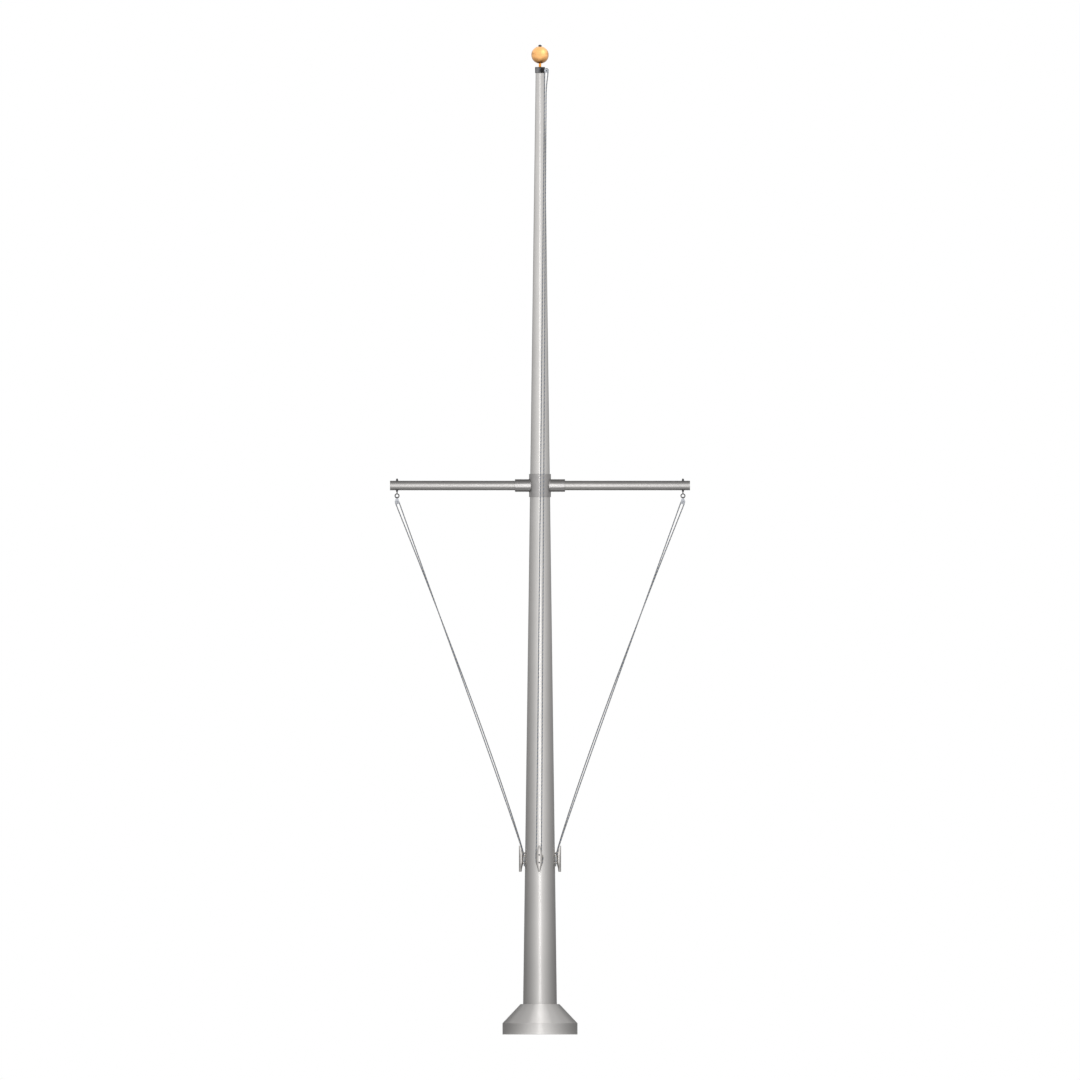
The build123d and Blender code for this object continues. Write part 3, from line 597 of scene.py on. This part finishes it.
@dataclass
class Shaft:
    """The tapered pole in its shoe, and the cover over it.

    The cover's inner corners stand in from the outer ones by steps, in wall thicknesses, that
    keep the wall even round its two bends.
    """

    butt_radius: float = 152.4 * MM
    top_radius: float = 38.1 * MM
    height: float = 8461 * MM
    wall: float = 6.35 * MM
    cover_skirt: float = 100 * MM
    cover_rim: float = 171.5 * MM
    cover_wall: float = 3.2 * MM
    rim_step: float = 0.37
    skirt_step: float = 0.39
    fit: float = 0.3 * MM

    def radius(self, height: float) -> float:
        """Outer radius of the pole at a height."""
        return self.butt_radius - (self.butt_radius - self.top_radius) * height / self.height

    def build(self) -> None:
        """Turn the pole and the cover, with unbroken surfaces for their long reflections."""
        low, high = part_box("pole_shaft")
        ends = [(self.radius(z), z) for z in (low.z, high.z)]
        inside = [(out - self.wall, z) for out, z in reversed(ends)]
        mesh = bmesh.new()
        Turning((*ends, *inside), edge=0.5 * MM, steps=192).add_to(mesh)
        pole = add_piece("pole", mesh, SATIN_ALUMINIUM.material())
        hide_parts("pole_shaft")
        keep_flats(pole)

        low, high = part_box("base_cover")
        skirt, wall = high.x, self.cover_wall
        hole = self.radius(high.z - wall) + self.fit
        section = (
            (skirt, low.z),
            (skirt, self.cover_skirt),
            (self.cover_rim, high.z),
            (hole, high.z),
            (hole, high.z - wall),
            (self.cover_rim - self.rim_step * wall, high.z - wall),
            (skirt - wall, self.cover_skirt - self.skirt_step * wall),
            (skirt - wall, low.z),
        )
        mesh = bmesh.new()
        Turning(section, edge=0.8 * MM, steps=256).add_to(mesh)
        cover = add_piece("cover", mesh, SATIN_ALUMINIUM.material())
        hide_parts("base_cover")
        keep_flats(cover)

    def dress(self) -> None:
        """Finish the plate under the cover."""
        dress(["base_plate"], GALVANISED)


# ---- Yardarm ----


@dataclass
class Yardarm:
    """The collar on the pole, its two arms, and the eye bolts and blocks at their ends."""

    height: float = 4831 * MM
    collar_radius: float = 96.0 * MM
    collar_height: float = 203 * MM
    collar_bore: FlatPoint = (88.71 * MM, 85.97 * MM)
    stub_radius: float = 55.8 * MM
    stub_reach: float = 220 * MM
    socket_radius: float = 42.3 * MM
    socket_floor: float = 110 * MM
    stub_root: float = 92.5 * MM
    stub_core: float = 2 * MM
    cast_edge: float = 1.5 * MM
    bead: float = 3.5 * MM
    bead_edge: float = 1.4 * MM
    tube_wall: float = 4 * MM
    tube_edge: float = 0.5 * MM

    def saddle(self, radius: float, across: float) -> float:
        """How far out a round wall of this radius stands, this far across from its middle."""
        return math.sqrt(radius**2 - across**2)

    def stub(self, mesh: bmesh.types.BMesh, side: Side) -> None:
        """Add one socket stub, rooted in the collar's wall, and the bead round its root.

        Args:
            mesh: The collar's bmesh.
            side: The side that it stands on.
        """
        sign, centre = side.value, (0.0, 0.0, self.height)
        section = (
            (self.stub_radius, 0.0),
            (self.stub_radius, sign * self.stub_reach),
            (self.socket_radius, sign * self.stub_reach),
            (self.socket_radius, sign * self.socket_floor),
            (self.stub_core, sign * self.socket_floor),
            (self.stub_core, 0.0),
        )
        turned = Turning(section, edge=self.cast_edge, axis="X", centre=centre).add_to(mesh)
        for vert in turned:
            if abs(vert.co.x) < self.stub_radius:
                vert.co.x = sign * self.saddle(self.stub_root, vert.co.y)
        ring, out = self.stub_radius, self.bead
        bead_section = ((ring + out, 0.0), (ring, out), (ring - out, 0.0), (ring, -out))
        bead = Turning(bead_section, edge=self.bead_edge, axis="X", centre=centre).add_to(mesh)
        for vert in bead:
            root = self.saddle(self.collar_radius, min(abs(vert.co.y), self.stub_radius))
            vert.co.x = sign * (root + vert.co.x)

    def build(self) -> None:
        """Make the collar with its stubs, and the two tubes."""
        low, high = self.height - self.collar_height / 2, self.height + self.collar_height / 2
        wide, narrow = self.collar_bore
        outer = self.collar_radius
        section = ((outer, low), (outer, high), (narrow, high), (wide, low))
        mesh = bmesh.new()
        Turning(section, edge=self.cast_edge).add_to(mesh)
        for side in Side:
            self.stub(mesh, side)
        collar = add_piece("collar", mesh, CAST_ALUMINIUM.material())
        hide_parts("yardarm_sleeve")
        keep_flats(collar)
        for side in Side:
            self.tube(side)

    def tube(self, side: Side) -> None:
        """Make one arm's tube.

        Args:
            side: The arm.
        """
        node = f"yardarm_{side.word}"
        low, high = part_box(node)
        outer = (high.z - low.z) / 2
        inner = outer - self.tube_wall
        section = ((outer, low.x), (outer, high.x), (inner, high.x), (inner, low.x))
        mesh = bmesh.new()
        centre = (0.0, 0.0, self.height)
        Turning(section, edge=self.tube_edge, axis="X", centre=centre).add_to(mesh)
        tube = add_piece(f"tube_{side.word}", mesh, SATIN_TUBE.material())
        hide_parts(node)
        keep_flats(tube)

    def dress(self) -> None:
        """Finish the end caps and what hangs from the arms."""
        words = [side.word for side in Side]
        dress([f"yardarm_cap_{word}" for word in words], SATIN_TUBE)
        bolts = ("eye_bolt", "eye_cap_nut", "eye_lock_nut", "block_eye")
        dress([f"{kind}_{word}" for kind in bolts for word in words], DARK_STEEL)
        dress([f"block_shell_{word}" for word in words], GALVANISED)
        dress([f"block_pin_{word}" for word in words], STAINLESS)
        dress([f"block_sheave_{word}" for word in words], SHEAVE_NYLON)


# ---- Truck and ball ----


@dataclass
class Truck:
    """The cap on the pole's top with the fork, pin and sheave of the main halyard."""

    pole_end: float = 8490.2 * MM
    bore: FlatPoint = (38.4 * MM, 38.01 * MM)
    rod_radius: float = 6.3 * MM
    edge: float = 3 * MM

    def build(self) -> None:
        """Turn the cap with its rounded edges."""
        low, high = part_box("truck_cap")
        wide, narrow = self.bore
        section = (
            (high.x, low.z),
            (high.x, high.z),
            (self.rod_radius, high.z),
            (self.rod_radius, self.pole_end),
            (narrow, self.pole_end),
            (wide, low.z),
        )
        mesh = bmesh.new()
        Turning(section, edge=self.edge, steps=96).add_to(mesh)
        cap = add_piece("cap", mesh, DARK_CASTING.material())
        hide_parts("truck_cap")
        keep_flats(cap)

    def dress(self) -> None:
        """Finish the fork, the pin and the sheave."""
        dress(["truck_fork"], GROUND_FORK)
        dress(["truck_pin"], DARK_STEEL)
        dress(["truck_sheave"], SHEAVE_NYLON)


@dataclass
class Finial:
    """The gold ball of two spun halves, on its spindle, under its nut."""

    seam_depth: float = 0.7 * MM
    seam_width: float = 1.6 * MM
    meridians: int = 96
    parallels: int = 64

    def build(self) -> None:
        """Model the ball with the joint of its halves as a fine groove round the middle."""
        low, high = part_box("finial_ball")
        centre = (low + high) / 2
        radius = (high.x - low.x) / 2
        mesh = bmesh.new()
        bmesh.ops.create_uvsphere(
            mesh, u_segments=self.meridians, v_segments=self.parallels, radius=radius
        )
        for height in (-self.seam_width, self.seam_width):
            parts = mesh.verts[:] + mesh.edges[:] + mesh.faces[:]
            bmesh.ops.bisect_plane(mesh, geom=parts, plane_co=(0, 0, height), plane_no=(0, 0, 1))
        groove = [vert for vert in mesh.verts if abs(vert.co.z) < self.seam_width / 2]
        shrink = Matrix.Scale(1 - self.seam_depth / radius, 4)
        bmesh.ops.transform(mesh, matrix=shrink, verts=groove)
        bmesh.ops.translate(mesh, vec=centre, verts=mesh.verts)
        ball = add_piece("ball", mesh, GOLD_ANODISED.material())
        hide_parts("finial_ball")

    def dress(self) -> None:
        """Finish the spindle and the nut."""
        dress(["finial_spindle"], GOLD_ROD)
        dress(["finial_nut"], DARK_STEEL)


# ---- Cleats ----


@dataclass
class Cleats:
    """Three cast cleats round the pole at shoulder height, each on two screws."""

    places: tuple[str, ...] = ("left", "front", "right")

    def dress(self) -> None:
        """Finish the cleats and their screws."""
        dress([f"cleat_{place}" for place in self.places], TUMBLED_CASTING)
        dress([f"cleat_screws_{place}" for place in self.places], DARK_STEEL)


# ---- Halyards ----


@dataclass
class Hitch:
    """Two flat turns side by side round the feet of a cleat, with the falls on either side.

    Points are (across, up) from the cleat's middle, in metres, and stand off the pole. A half
    turn has three corners, and each of them bends the rope by twice the half bend.
    """

    angle: float
    height: float = 1.547
    stand_off: float = 0.1385
    feet: tuple[float, float] = (-0.0335, 0.0335)
    inner: float = 0.018
    outer: float = 0.0295
    inner_tail: FlatPoint = (0.001, 0.0537)
    outer_tail: FlatPoint = (0.033, 0.030)
    half_bend: float = math.radians(30)

    def under_foot(self, radius: float, side: float) -> list[FlatPoint]:
        """Lead the rope half a turn under the lower foot.

        Args:
            radius: The turn's radius, in metres.
            side: 1 or -1 for the side that it comes from.

        Returns:
            The turn's corners.
        """
        rise = radius * math.tan(self.half_bend)
        drop = radius / math.cos(self.half_bend)
        low = self.feet[0]
        return [(side * radius, low - rise), (0, low - drop), (-side * radius, low - rise)]

    def inner_turn(self, side: float) -> list[FlatPoint]:
        """Lead the turn next to the feet, from its tail over the upper foot.

        Args:
            side: 1 or -1 for the side of the tail.

        Returns:
            The turn's corners.
        """
        over = self.feet[1] + self.inner * math.tan(self.half_bend)
        tail = (side * self.inner_tail[0], self.inner_tail[1])
        return [tail, (-side * self.inner, over)] + self.under_foot(self.inner, -side)

    def outer_turn(self, side: float) -> list[FlatPoint]:
        """Corners of the turn round the first one, to its tail beside the upper foot."""
        tail = (side * self.outer_tail[0], self.outer_tail[1])
        return self.under_foot(self.outer, -side) + [tail]

    def place(self, points: list[FlatPoint]) -> list[Point]:
        """Put points of the hitch at its cleat.

        Args:
            points: The points, across and up from the cleat's middle.

        Returns:
            The same points in the frame.
        """
        cos, sin = math.cos(math.radians(self.angle)), math.sin(math.radians(self.angle))
        out = self.stand_off
        return [(out * cos - u * sin, out * sin + u * cos, self.height + v) for u, v in points]


def over_sheave(centre: Point, first: float, wrap: float) -> list[Point]:
    """Corners of a rope's way over a sheave.

    Args:
        centre: The sheave's middle, in metres.
        first: The angle at which the rope meets the groove, in degrees.
        wrap: The angle that it turns through, clockwise from there.

    Returns:
        Three corners round the groove.
    """
    third = wrap / 3
    reach = GROOVE_RADIUS / math.cos(math.radians(third / 2))
    angles = [math.radians(first - third * (step + 0.5)) for step in range(3)]
    x, y, z = centre
    return [(x + reach * math.cos(a), y, z + reach * math.sin(a)) for a in angles]


@dataclass
class Halyard:
    """One rope: laid strands along its route, and a twine whipping at each end."""

    name: str
    route: list[Point]
    length: float
    diameter: float = 11 * MM
    lay: float = 33 * MM
    ring_step: float = 3.4 * MM
    ring_points: int = 15
    groove: float = 0.72
    strand_power: float = 2.2
    samples: int = 64
    yarns: int = 18
    marker: tuple[str, str] = ("#526079", "#75859b")
    plain: tuple[str, str] = ("#8f8d89", "#b1afab")
    whipping_length: float = 14 * MM
    whipping_step: float = 0.225 * MM
    whipping_points: int = 20
    twine: float = 0.9 * MM
    twine_rib: float = 0.3 * MM
    end_share: float = 0.85
    end_rise: float = 0.2

    def spline_line(self) -> list[Vector]:
        """The route as one smooth line.

        Returns:
            Points of a NURBS spline whose control points are the route's.
        """
        curve = bpy.data.curves.new(f"{self.name} route", "CURVE")
        curve.dimensions = "3D"
        spline = curve.splines.new("NURBS")
        spline.points.add(len(self.route) - 1)
        for control, point in zip(spline.points, self.route):
            control.co = (*point, 1)
        spline.order_u = 3
        spline.use_endpoint_u = True
        spline.resolution_u = self.samples
        holder = bpy.data.objects.new(f"{self.name} route", curve)
        line = bpy.data.meshes.new_from_object(holder)
        points = [vert.co.copy() for vert in line.vertices]
        bpy.data.objects.remove(holder)
        bpy.data.meshes.remove(line)
        bpy.data.curves.remove(curve)
        return points

    def strand_radius(self, share: float, way: float) -> float:
        """Distance of the laid rope's skin from its middle, which dips between the strands."""
        dip = (2 * abs(share * RopeSweep.STRANDS % 1 - 0.5)) ** self.strand_power
        return self.diameter / 2 * (1 - (1 - self.groove) * dip)

    def whipping_radius(self, share: float, way: float) -> float:
        """Distance of the twine's skin from the rope's middle, ribbed by its turns.

        Args:
            share: The way round the rope, from 0 to 1, which changes nothing here.
            way: The way along the whipping, in metres.

        Returns:
            The distance, in metres.
        """
        turns_in = min(way, self.whipping_length - way) / self.twine
        rib = abs(math.sin(math.pi * way / self.twine))
        end = min(1.0, self.end_share + self.end_rise * turns_in)
        return self.diameter / 2 * end + self.twine_rib * rib

    def whipping(self, line: list[Vector], word: str) -> bpy.types.Object:
        """Bind one end of the rope with twine.

        Args:
            line: The rope's line, from the end that is bound.
            word: The end's word in the piece's name.

        Returns:
            The whipping.
        """
        run, kept = 0.0, [line[0]]
        for before, after in zip(line, line[1:]):
            gap = (after - before).length
            if run + gap >= self.whipping_length:
                kept.append(before.lerp(after, (self.whipping_length - run) / gap))
                break
            run += gap
            kept.append(after)
        sweep = RopeSweep(kept, self.whipping_step, self.whipping_points)
        mesh = sweep.build(self.whipping_radius)
        return add_piece(f"{self.name}_whipping_{word}", mesh, TWINE.material())

    def build(self) -> None:
        line = self.spline_line()
        sweep = RopeSweep(line, self.ring_step, self.ring_points, self.lay)
        places, _, length = sweep.stations()
        finish = LaidPolyester(
            "laid polyester", self.marker, self.plain, self.yarns, length, self.lay
        )
        mesh = sweep.build(self.strand_radius)
        rope = add_piece(f"{self.name}_rope", mesh, finish.material())
        ends = [self.whipping(line, "inner"), self.whipping(line[::-1], "outer")]
        rope.visible_glossy = False
        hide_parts(self.name)


def side_halyard(side: Side) -> Halyard:
    """The rope from one cleat up to the block at the arm's end and back.

    Args:
        side: The arm that it serves.

    Returns:
        The halyard with its route.
    """
    sign = side.value
    taut_lean, slack_lean = 19.7, 21.6
    hitch = Hitch(0.0 if side is Side.RIGHT else 180.0)
    near = -sign
    start = 90 + sign * (90 - taut_lean)
    wrap = sign * (180 + slack_lean - taut_lean)
    x, y, z = BLOCK_SHEAVE
    block = over_sheave((sign * x, y, z), start, wrap)
    block_in = [(sign * 1.2238, -0.0004, 4.6381)]
    slack = [(1.252, 0.0006, 4.6275), (0.9398, 0.008, 3.841), (0.4678, 0.017, 2.592)]
    block_out = [(sign * x, y, z) for x, y, z in slack]
    up = hitch.inner_turn(near) + [(near * 0.021, 0.060)]
    down = [(near * -0.031, 0.060)] + hitch.outer_turn(near)
    route = hitch.place(up) + block_in + block + block_out + hitch.place(down)
    return Halyard(f"halyard_{side.word}", route, 7.101)


def main_halyard() -> Halyard:
    """The rope from the front cleat over the truck's sheave and back.

    Returns:
        The halyard with its route.
    """
    lean = 7.5
    hitch = Hitch(-92.3, inner_tail=(0.001, 0.0487))
    truck = over_sheave(TRUCK_SHEAVE, -lean, -180 - lean)
    up = hitch.place(hitch.inner_turn(1) + [(0.0185, 0.075)])
    down = hitch.place([(-0.023, 0.150), (-0.0305, 0.055)] + hitch.outer_turn(1))
    lead = [(0.0531, -0.0681, 8.180), (0.054, -0.0665, 8.330)]
    route = up + lead + truck + [(0.0413, -0.0637, 8.4277)] + down
    return Halyard("halyard_main", route, 14.306)


# ---- Studio ----


@dataclass(frozen=True)
class Lamp:
    """A lamp in its place, with the pieces that it lights alone or leaves out.

    A soft box has a size in metres, and its level is the brightness of its face, where a white
    wall in full light is 1. A lamp without a size is far off and as wide as its spread. The
    turn is counted from pointing down, and all angles are in degrees.
    """

    name: str
    size: FlatPoint | None
    level: float
    place: Point
    turn: Point = (0, 0, 0)
    only: tuple[str, ...] = ()
    spared: tuple[str, ...] = ()
    spread: float = 30.0

    def light(self) -> bpy.types.Light:
        """Make what shines.

        Returns:
            The light, without its place.
        """
        light = bpy.data.lights.new(self.name, "AREA" if self.size else "SUN")
        if self.size:
            width, height = self.size
            light.shape = "RECTANGLE"
            light.size, light.size_y = width, height
            light.energy = self.level * math.pi * width * height
        else:
            light.angle, light.energy = math.radians(self.spread), self.level
        return light

    def hang(self) -> None:
        """Put the lamp in its place and choose what it lights."""
        holder = bpy.data.objects.new(self.name, self.light())
        holder.location = self.place
        holder.rotation_euler = [math.radians(angle) for angle in self.turn]
        holder.visible_camera = False
        bpy.context.scene.collection.objects.link(holder)
        if self.only or self.spared:
            chosen = bpy.data.collections.new(f"pieces of the {self.name}")
            for piece in self.only + self.spared:
                chosen.objects.link(bpy.data.objects[piece])
            for listed in chosen.collection_objects:
                listed.light_linking.link_state = "EXCLUDE" if self.spared else "INCLUDE"
            holder.light_linking.receiver_collection = chosen


@dataclass
class Studio:
    """A white studio: a strip light in front of the pole, and graded cards all round it.

    Only reflections show the cards. They are brightest in front and fall off evenly towards
    the back, less so higher up, and the ceiling and the floor have cards of their own.
    """

    frame_width: float = 9.504
    middle: float = 4.3516
    camera_distance: float = 30.0
    ambient: float = 0.62
    strip_angle: float = 2.9
    strip_level: float = 3.5
    back_angle: float = 18.0
    back_level: float = 0.8
    wall_gap: float = 0.1
    key_level: float = 0.6
    room_radius: float = 9.0
    room_height: float = 9.8
    room_foot: float = -0.3
    front_level: float = 1.75
    front_cap: float = 1.3
    back_cap: float = 0.28
    cap_angles: FlatPoint = (105.0, 150.0)
    fall: float = 2.015
    fall_per_metre: float = 0.179
    arm_height: float = 4.83
    flat_fall: float = 2.25
    foot_radius: float = 1.2
    layer: float = 0.5 * MM
    floor_size: float = 40.0
    floor_colour: str = "#f4f4f4"
    floor_glow: float = 0.32

    def camera(self) -> None:
        """Aim a level parallel camera at the pole from the front."""
        data = bpy.data.cameras.new("camera")
        data.type = "ORTHO"
        data.ortho_scale = self.frame_width
        data.clip_end = 200
        holder = bpy.data.objects.new("camera", data)
        holder.location = (0, -self.camera_distance, self.middle)
        holder.rotation_euler = (math.radians(90), 0, 0)
        bpy.context.scene.collection.objects.link(holder)
        bpy.context.scene.camera = holder

    def lamps(self) -> None:
        """Hang a strip before and behind the pole, boxes for single pieces, and the key light."""
        reach, tall = self.room_radius - self.wall_gap, self.room_height
        wide = 2 * reach * math.tan(math.radians(self.strip_angle))
        back_wide = 2 * reach * math.tan(math.radians(self.back_angle))
        front, back = (0, -reach, tall / 2), (0, reach, tall / 2)
        level, backward, down = (90, 0, 0), (-90, 0, 0), (0, 0, 0)
        cover, ball, floor = ("cover",), ("ball",), ("floor",)
        wings = [(f"cover {side.word} box", (side.value * 1.6, 0.4, 3)) for side in Side]
        for lamp in (
            Lamp("strip", (wide, tall), self.strip_level, front, level, spared=ball + floor),
            Lamp("collar box", (0.3, 2), 1.6, (0, -3, self.arm_height), level, ("collar",)),
            Lamp("back strip", (back_wide, tall), self.back_level, back, backward, spared=floor),
            Lamp("cover box", (1.9, 0.9), 1.3, (0, -0.4, 3), down, cover),
            Lamp("cover middle box", (0.44, 0.9), 1.5, (0, -0.4, 2.98), down, cover),
            *(Lamp(name, (1.3, 1.8), 0.5, place, down, cover) for name, place in wings),
            Lamp("ball top box", (8, 7), 0.9, (0.5, 0, 9.75), down, ball),
            Lamp("ball box", (2, 2), 0.35, (1.1, -0.9, 9.3), (64, 0, 51), ball),
            Lamp("cap box", (2.2, 0.8), 2.8, (-1.2, -0.6, 8.45), (90, 0, -63), ("cap",)),
            Lamp("key", None, self.key_level, (4, -3, 12), (45, 0, 62)),
        ):
            lamp.hang()

    def seen(self, tree: Tree) -> Socket:
        """Tell the rays that show the background from those that only light the object.

        Args:
            tree: A node tree.

        Returns:
            1 for what is seen directly, mirrored or through glass, and 0 for the rest.
        """
        rays = add_node(tree, "ShaderNodeLightPath")
        seen = rays.outputs["Is Camera Ray"]
        for name in ("Is Glossy Ray", "Is Transmission Ray"):
            pair = {0: seen, 1: rays.outputs[name]}
            seen = add_node(tree, "ShaderNodeMath", pair, operation="MAXIMUM").outputs[0]
        return seen

    def world(self) -> None:
        """White where it is seen, plainer where it lights the object."""
        world = bpy.data.worlds.new("studio")
        bpy.context.scene.world = world
        world.use_nodes = True
        tree = world.node_tree
        tree.nodes.clear()
        spread = {0: self.seen(tree), 1: 0.0, 2: 1.0, 3: self.ambient, 4: 1.0}
        level = add_node(tree, "ShaderNodeMapRange", spread).outputs[0]
        back = add_node(tree, "ShaderNodeBackground", {"Color": (1, 1, 1, 1), "Strength": level})
        add_node(tree, "ShaderNodeOutputWorld", {"Surface": back.outputs[0]})

    def glow(
        self, tree: Tree, sine: Socket, fall: float | Socket, cap: Socket | None = None
    ) -> None:
        """Make a card glow at a level that falls off evenly from the front.

        Args:
            tree: The card's node tree.
            sine: Sine of half the angle from the front.
            fall: The rate, below 0.
            cap: The highest level that the card may have.
        """
        power = add_node(tree, "ShaderNodeMath", {0: sine, 1: fall}, operation="MULTIPLY")
        share = add_node(tree, "ShaderNodeMath", {0: power.outputs[0]}, operation="EXPONENT")
        scale = {0: share.outputs[0], 1: self.front_level}
        level = add_node(tree, "ShaderNodeMath", scale, operation="MULTIPLY").outputs[0]
        if cap is not None:
            pair = {0: level, 1: cap}
            level = add_node(tree, "ShaderNodeMath", pair, operation="MINIMUM").outputs[0]
        glow = add_node(tree, "ShaderNodeEmission", {"Strength": level})
        add_node(tree, "ShaderNodeOutputMaterial", {"Surface": glow.outputs[0]})

    def wall_card(self) -> bpy.types.Material:
        """Card of the walls: bright in front, darker behind and low down.

        Returns:
            Its material.
        """
        material, tree = new_tree("wall card")
        place = add_node(tree, "ShaderNodeTexCoord").outputs["Object"]
        x, y, z = add_node(tree, "ShaderNodeSeparateXYZ", {0: place}).outputs
        across = add_node(tree, "ShaderNodeMath", {0: x}, operation="ABSOLUTE").outputs[0]
        front = add_node(tree, "ShaderNodeMath", {0: y, 1: -1.0}, operation="MULTIPLY").outputs[0]
        way = {0: across, 1: front}
        turn = add_node(tree, "ShaderNodeMath", way, operation="ARCTAN2").outputs[0]
        half = add_node(tree, "ShaderNodeMath", {0: turn, 1: 0.5}, operation="MULTIPLY").outputs[0]
        sine = add_node(tree, "ShaderNodeMath", {0: half}, operation="SINE").outputs[0]
        slope = {0: z, 1: self.fall_per_metre, 2: -self.fall}
        fall = add_node(tree, "ShaderNodeMath", slope, operation="MULTIPLY_ADD").outputs[0]
        side, back = (math.radians(angle) for angle in self.cap_angles)
        fade = {0: turn, 1: side, 2: back, 3: self.front_cap, 4: self.back_cap}
        cap = add_node(tree, "ShaderNodeMapRange", fade).outputs[0]
        self.glow(tree, sine, fall, cap)
        return material

    def flat_card(self) -> bpy.types.Material:
        """Card of the ceiling and the floor, graded by its angle from the front at the arms.

        Returns:
            Its material.
        """
        material, tree = new_tree("flat card")
        place = add_node(tree, "ShaderNodeTexCoord").outputs["Object"]
        arms = {0: place, 1: (0.0, 0.0, self.arm_height)}
        offset = add_node(tree, "ShaderNodeVectorMath", arms, operation="SUBTRACT").outputs[0]
        way = add_node(tree, "ShaderNodeVectorMath", {0: offset}, operation="NORMALIZE").outputs[0]
        split = add_node(tree, "ShaderNodeSeparateXYZ", {0: way})
        half = {0: split.outputs["Y"], 1: 0.5, 2: 0.5}
        share = add_node(tree, "ShaderNodeMath", half, operation="MULTIPLY_ADD").outputs[0]
        sine = add_node(tree, "ShaderNodeMath", {0: share}, operation="SQRT").outputs[0]
        self.glow(tree, sine, -self.flat_fall)
        return material

    def staged(
        self, name: str, mesh: bmesh.types.BMesh, material: bpy.types.Material, card: bool = True
    ) -> None:
        """Add a floor or a card, which isn't part of the object.

        Args:
            name: Its name.
            mesh: Its shape.
            material: Its material.
            card: Whether it is a card, which only reflections show.
        """
        data = bpy.data.meshes.new(name)
        mesh.to_mesh(data)
        mesh.free()
        data.materials.append(material)
        holder = bpy.data.objects.new(name, data)
        bpy.context.scene.collection.objects.link(holder)
        if card:
            holder.visible_camera = False
            holder.visible_diffuse = False
            holder.visible_transmission = False
            holder.visible_shadow = False

    def cards(self) -> None:
        """Stand the wall card round the object, and lay one under it and one over it."""
        low, high = self.room_foot, self.room_height
        mesh = bmesh.new()
        radius = self.room_radius
        bmesh.ops.create_cone(
            mesh, cap_ends=False, segments=128, radius1=radius, radius2=radius, depth=high - low
        )
        bmesh.ops.translate(mesh, vec=(0, 0, (high + low) / 2), verts=mesh.verts)
        self.staged("wall card", mesh, self.wall_card())
        flat, wide = self.flat_card(), radius + 0.01
        for name, radius, height, sides, material in (
            ("floor card", wide, self.layer, 128, flat),
            ("ceiling card", wide, high, 128, flat),
            ("foot card", self.foot_radius, 2 * self.layer, 96, self.wall_card()),
        ):
            mesh = bmesh.new()
            bmesh.ops.create_circle(mesh, cap_ends=True, segments=sides, radius=radius)
            bmesh.ops.translate(mesh, vec=(0, 0, height), verts=mesh.verts)
            self.staged(name, mesh, material)

    def floor(self) -> None:
        """Lay a wide pale floor, which is seen as white where no shadow falls."""
        material, tree = new_tree("pale floor")
        colour = linear(self.floor_colour)
        paint = add_node(tree, "ShaderNodeBsdfDiffuse", {"Color": colour, "Roughness": 0.0})
        shine = {0: self.seen(tree), 1: self.floor_glow}
        level = add_node(tree, "ShaderNodeMath", shine, operation="MULTIPLY").outputs[0]
        glow = add_node(tree, "ShaderNodeEmission", {"Strength": level})
        both = add_node(tree, "ShaderNodeAddShader", {0: paint.outputs[0], 1: glow.outputs[0]})
        add_node(tree, "ShaderNodeOutputMaterial", {"Surface": both.outputs[0]})
        mesh = bmesh.new()
        bmesh.ops.create_grid(mesh, x_segments=1, y_segments=1, size=self.floor_size)
        bmesh.ops.translate(mesh, vec=(0, 0, -2 * self.layer), verts=mesh.verts)
        self.staged("floor", mesh, material, card=False)

    def build(self) -> None:
        """Set up the camera, the lamps, the world, the cards and the floor."""
        self.camera()
        self.world()
        self.cards()
        self.floor()
        self.lamps()
        bpy.context.scene.view_settings.view_transform = "Standard"
        LOG.info("studio: camera, lamps, world, cards and floor")


def main() -> None:
    """Build and dress every sub-assembly."""
    logging.basicConfig(level=logging.INFO, format="%(name)s: %(message)s")
    for halyard in (side_halyard(Side.LEFT), side_halyard(Side.RIGHT), main_halyard()):
        halyard.build()
    for assembly in (Shaft(), Yardarm(), Truck(), Finial()):
        assembly.build()
        assembly.dress()
    Cleats().dress()
    Studio().build()


if __name__ == "__main__":
    main()
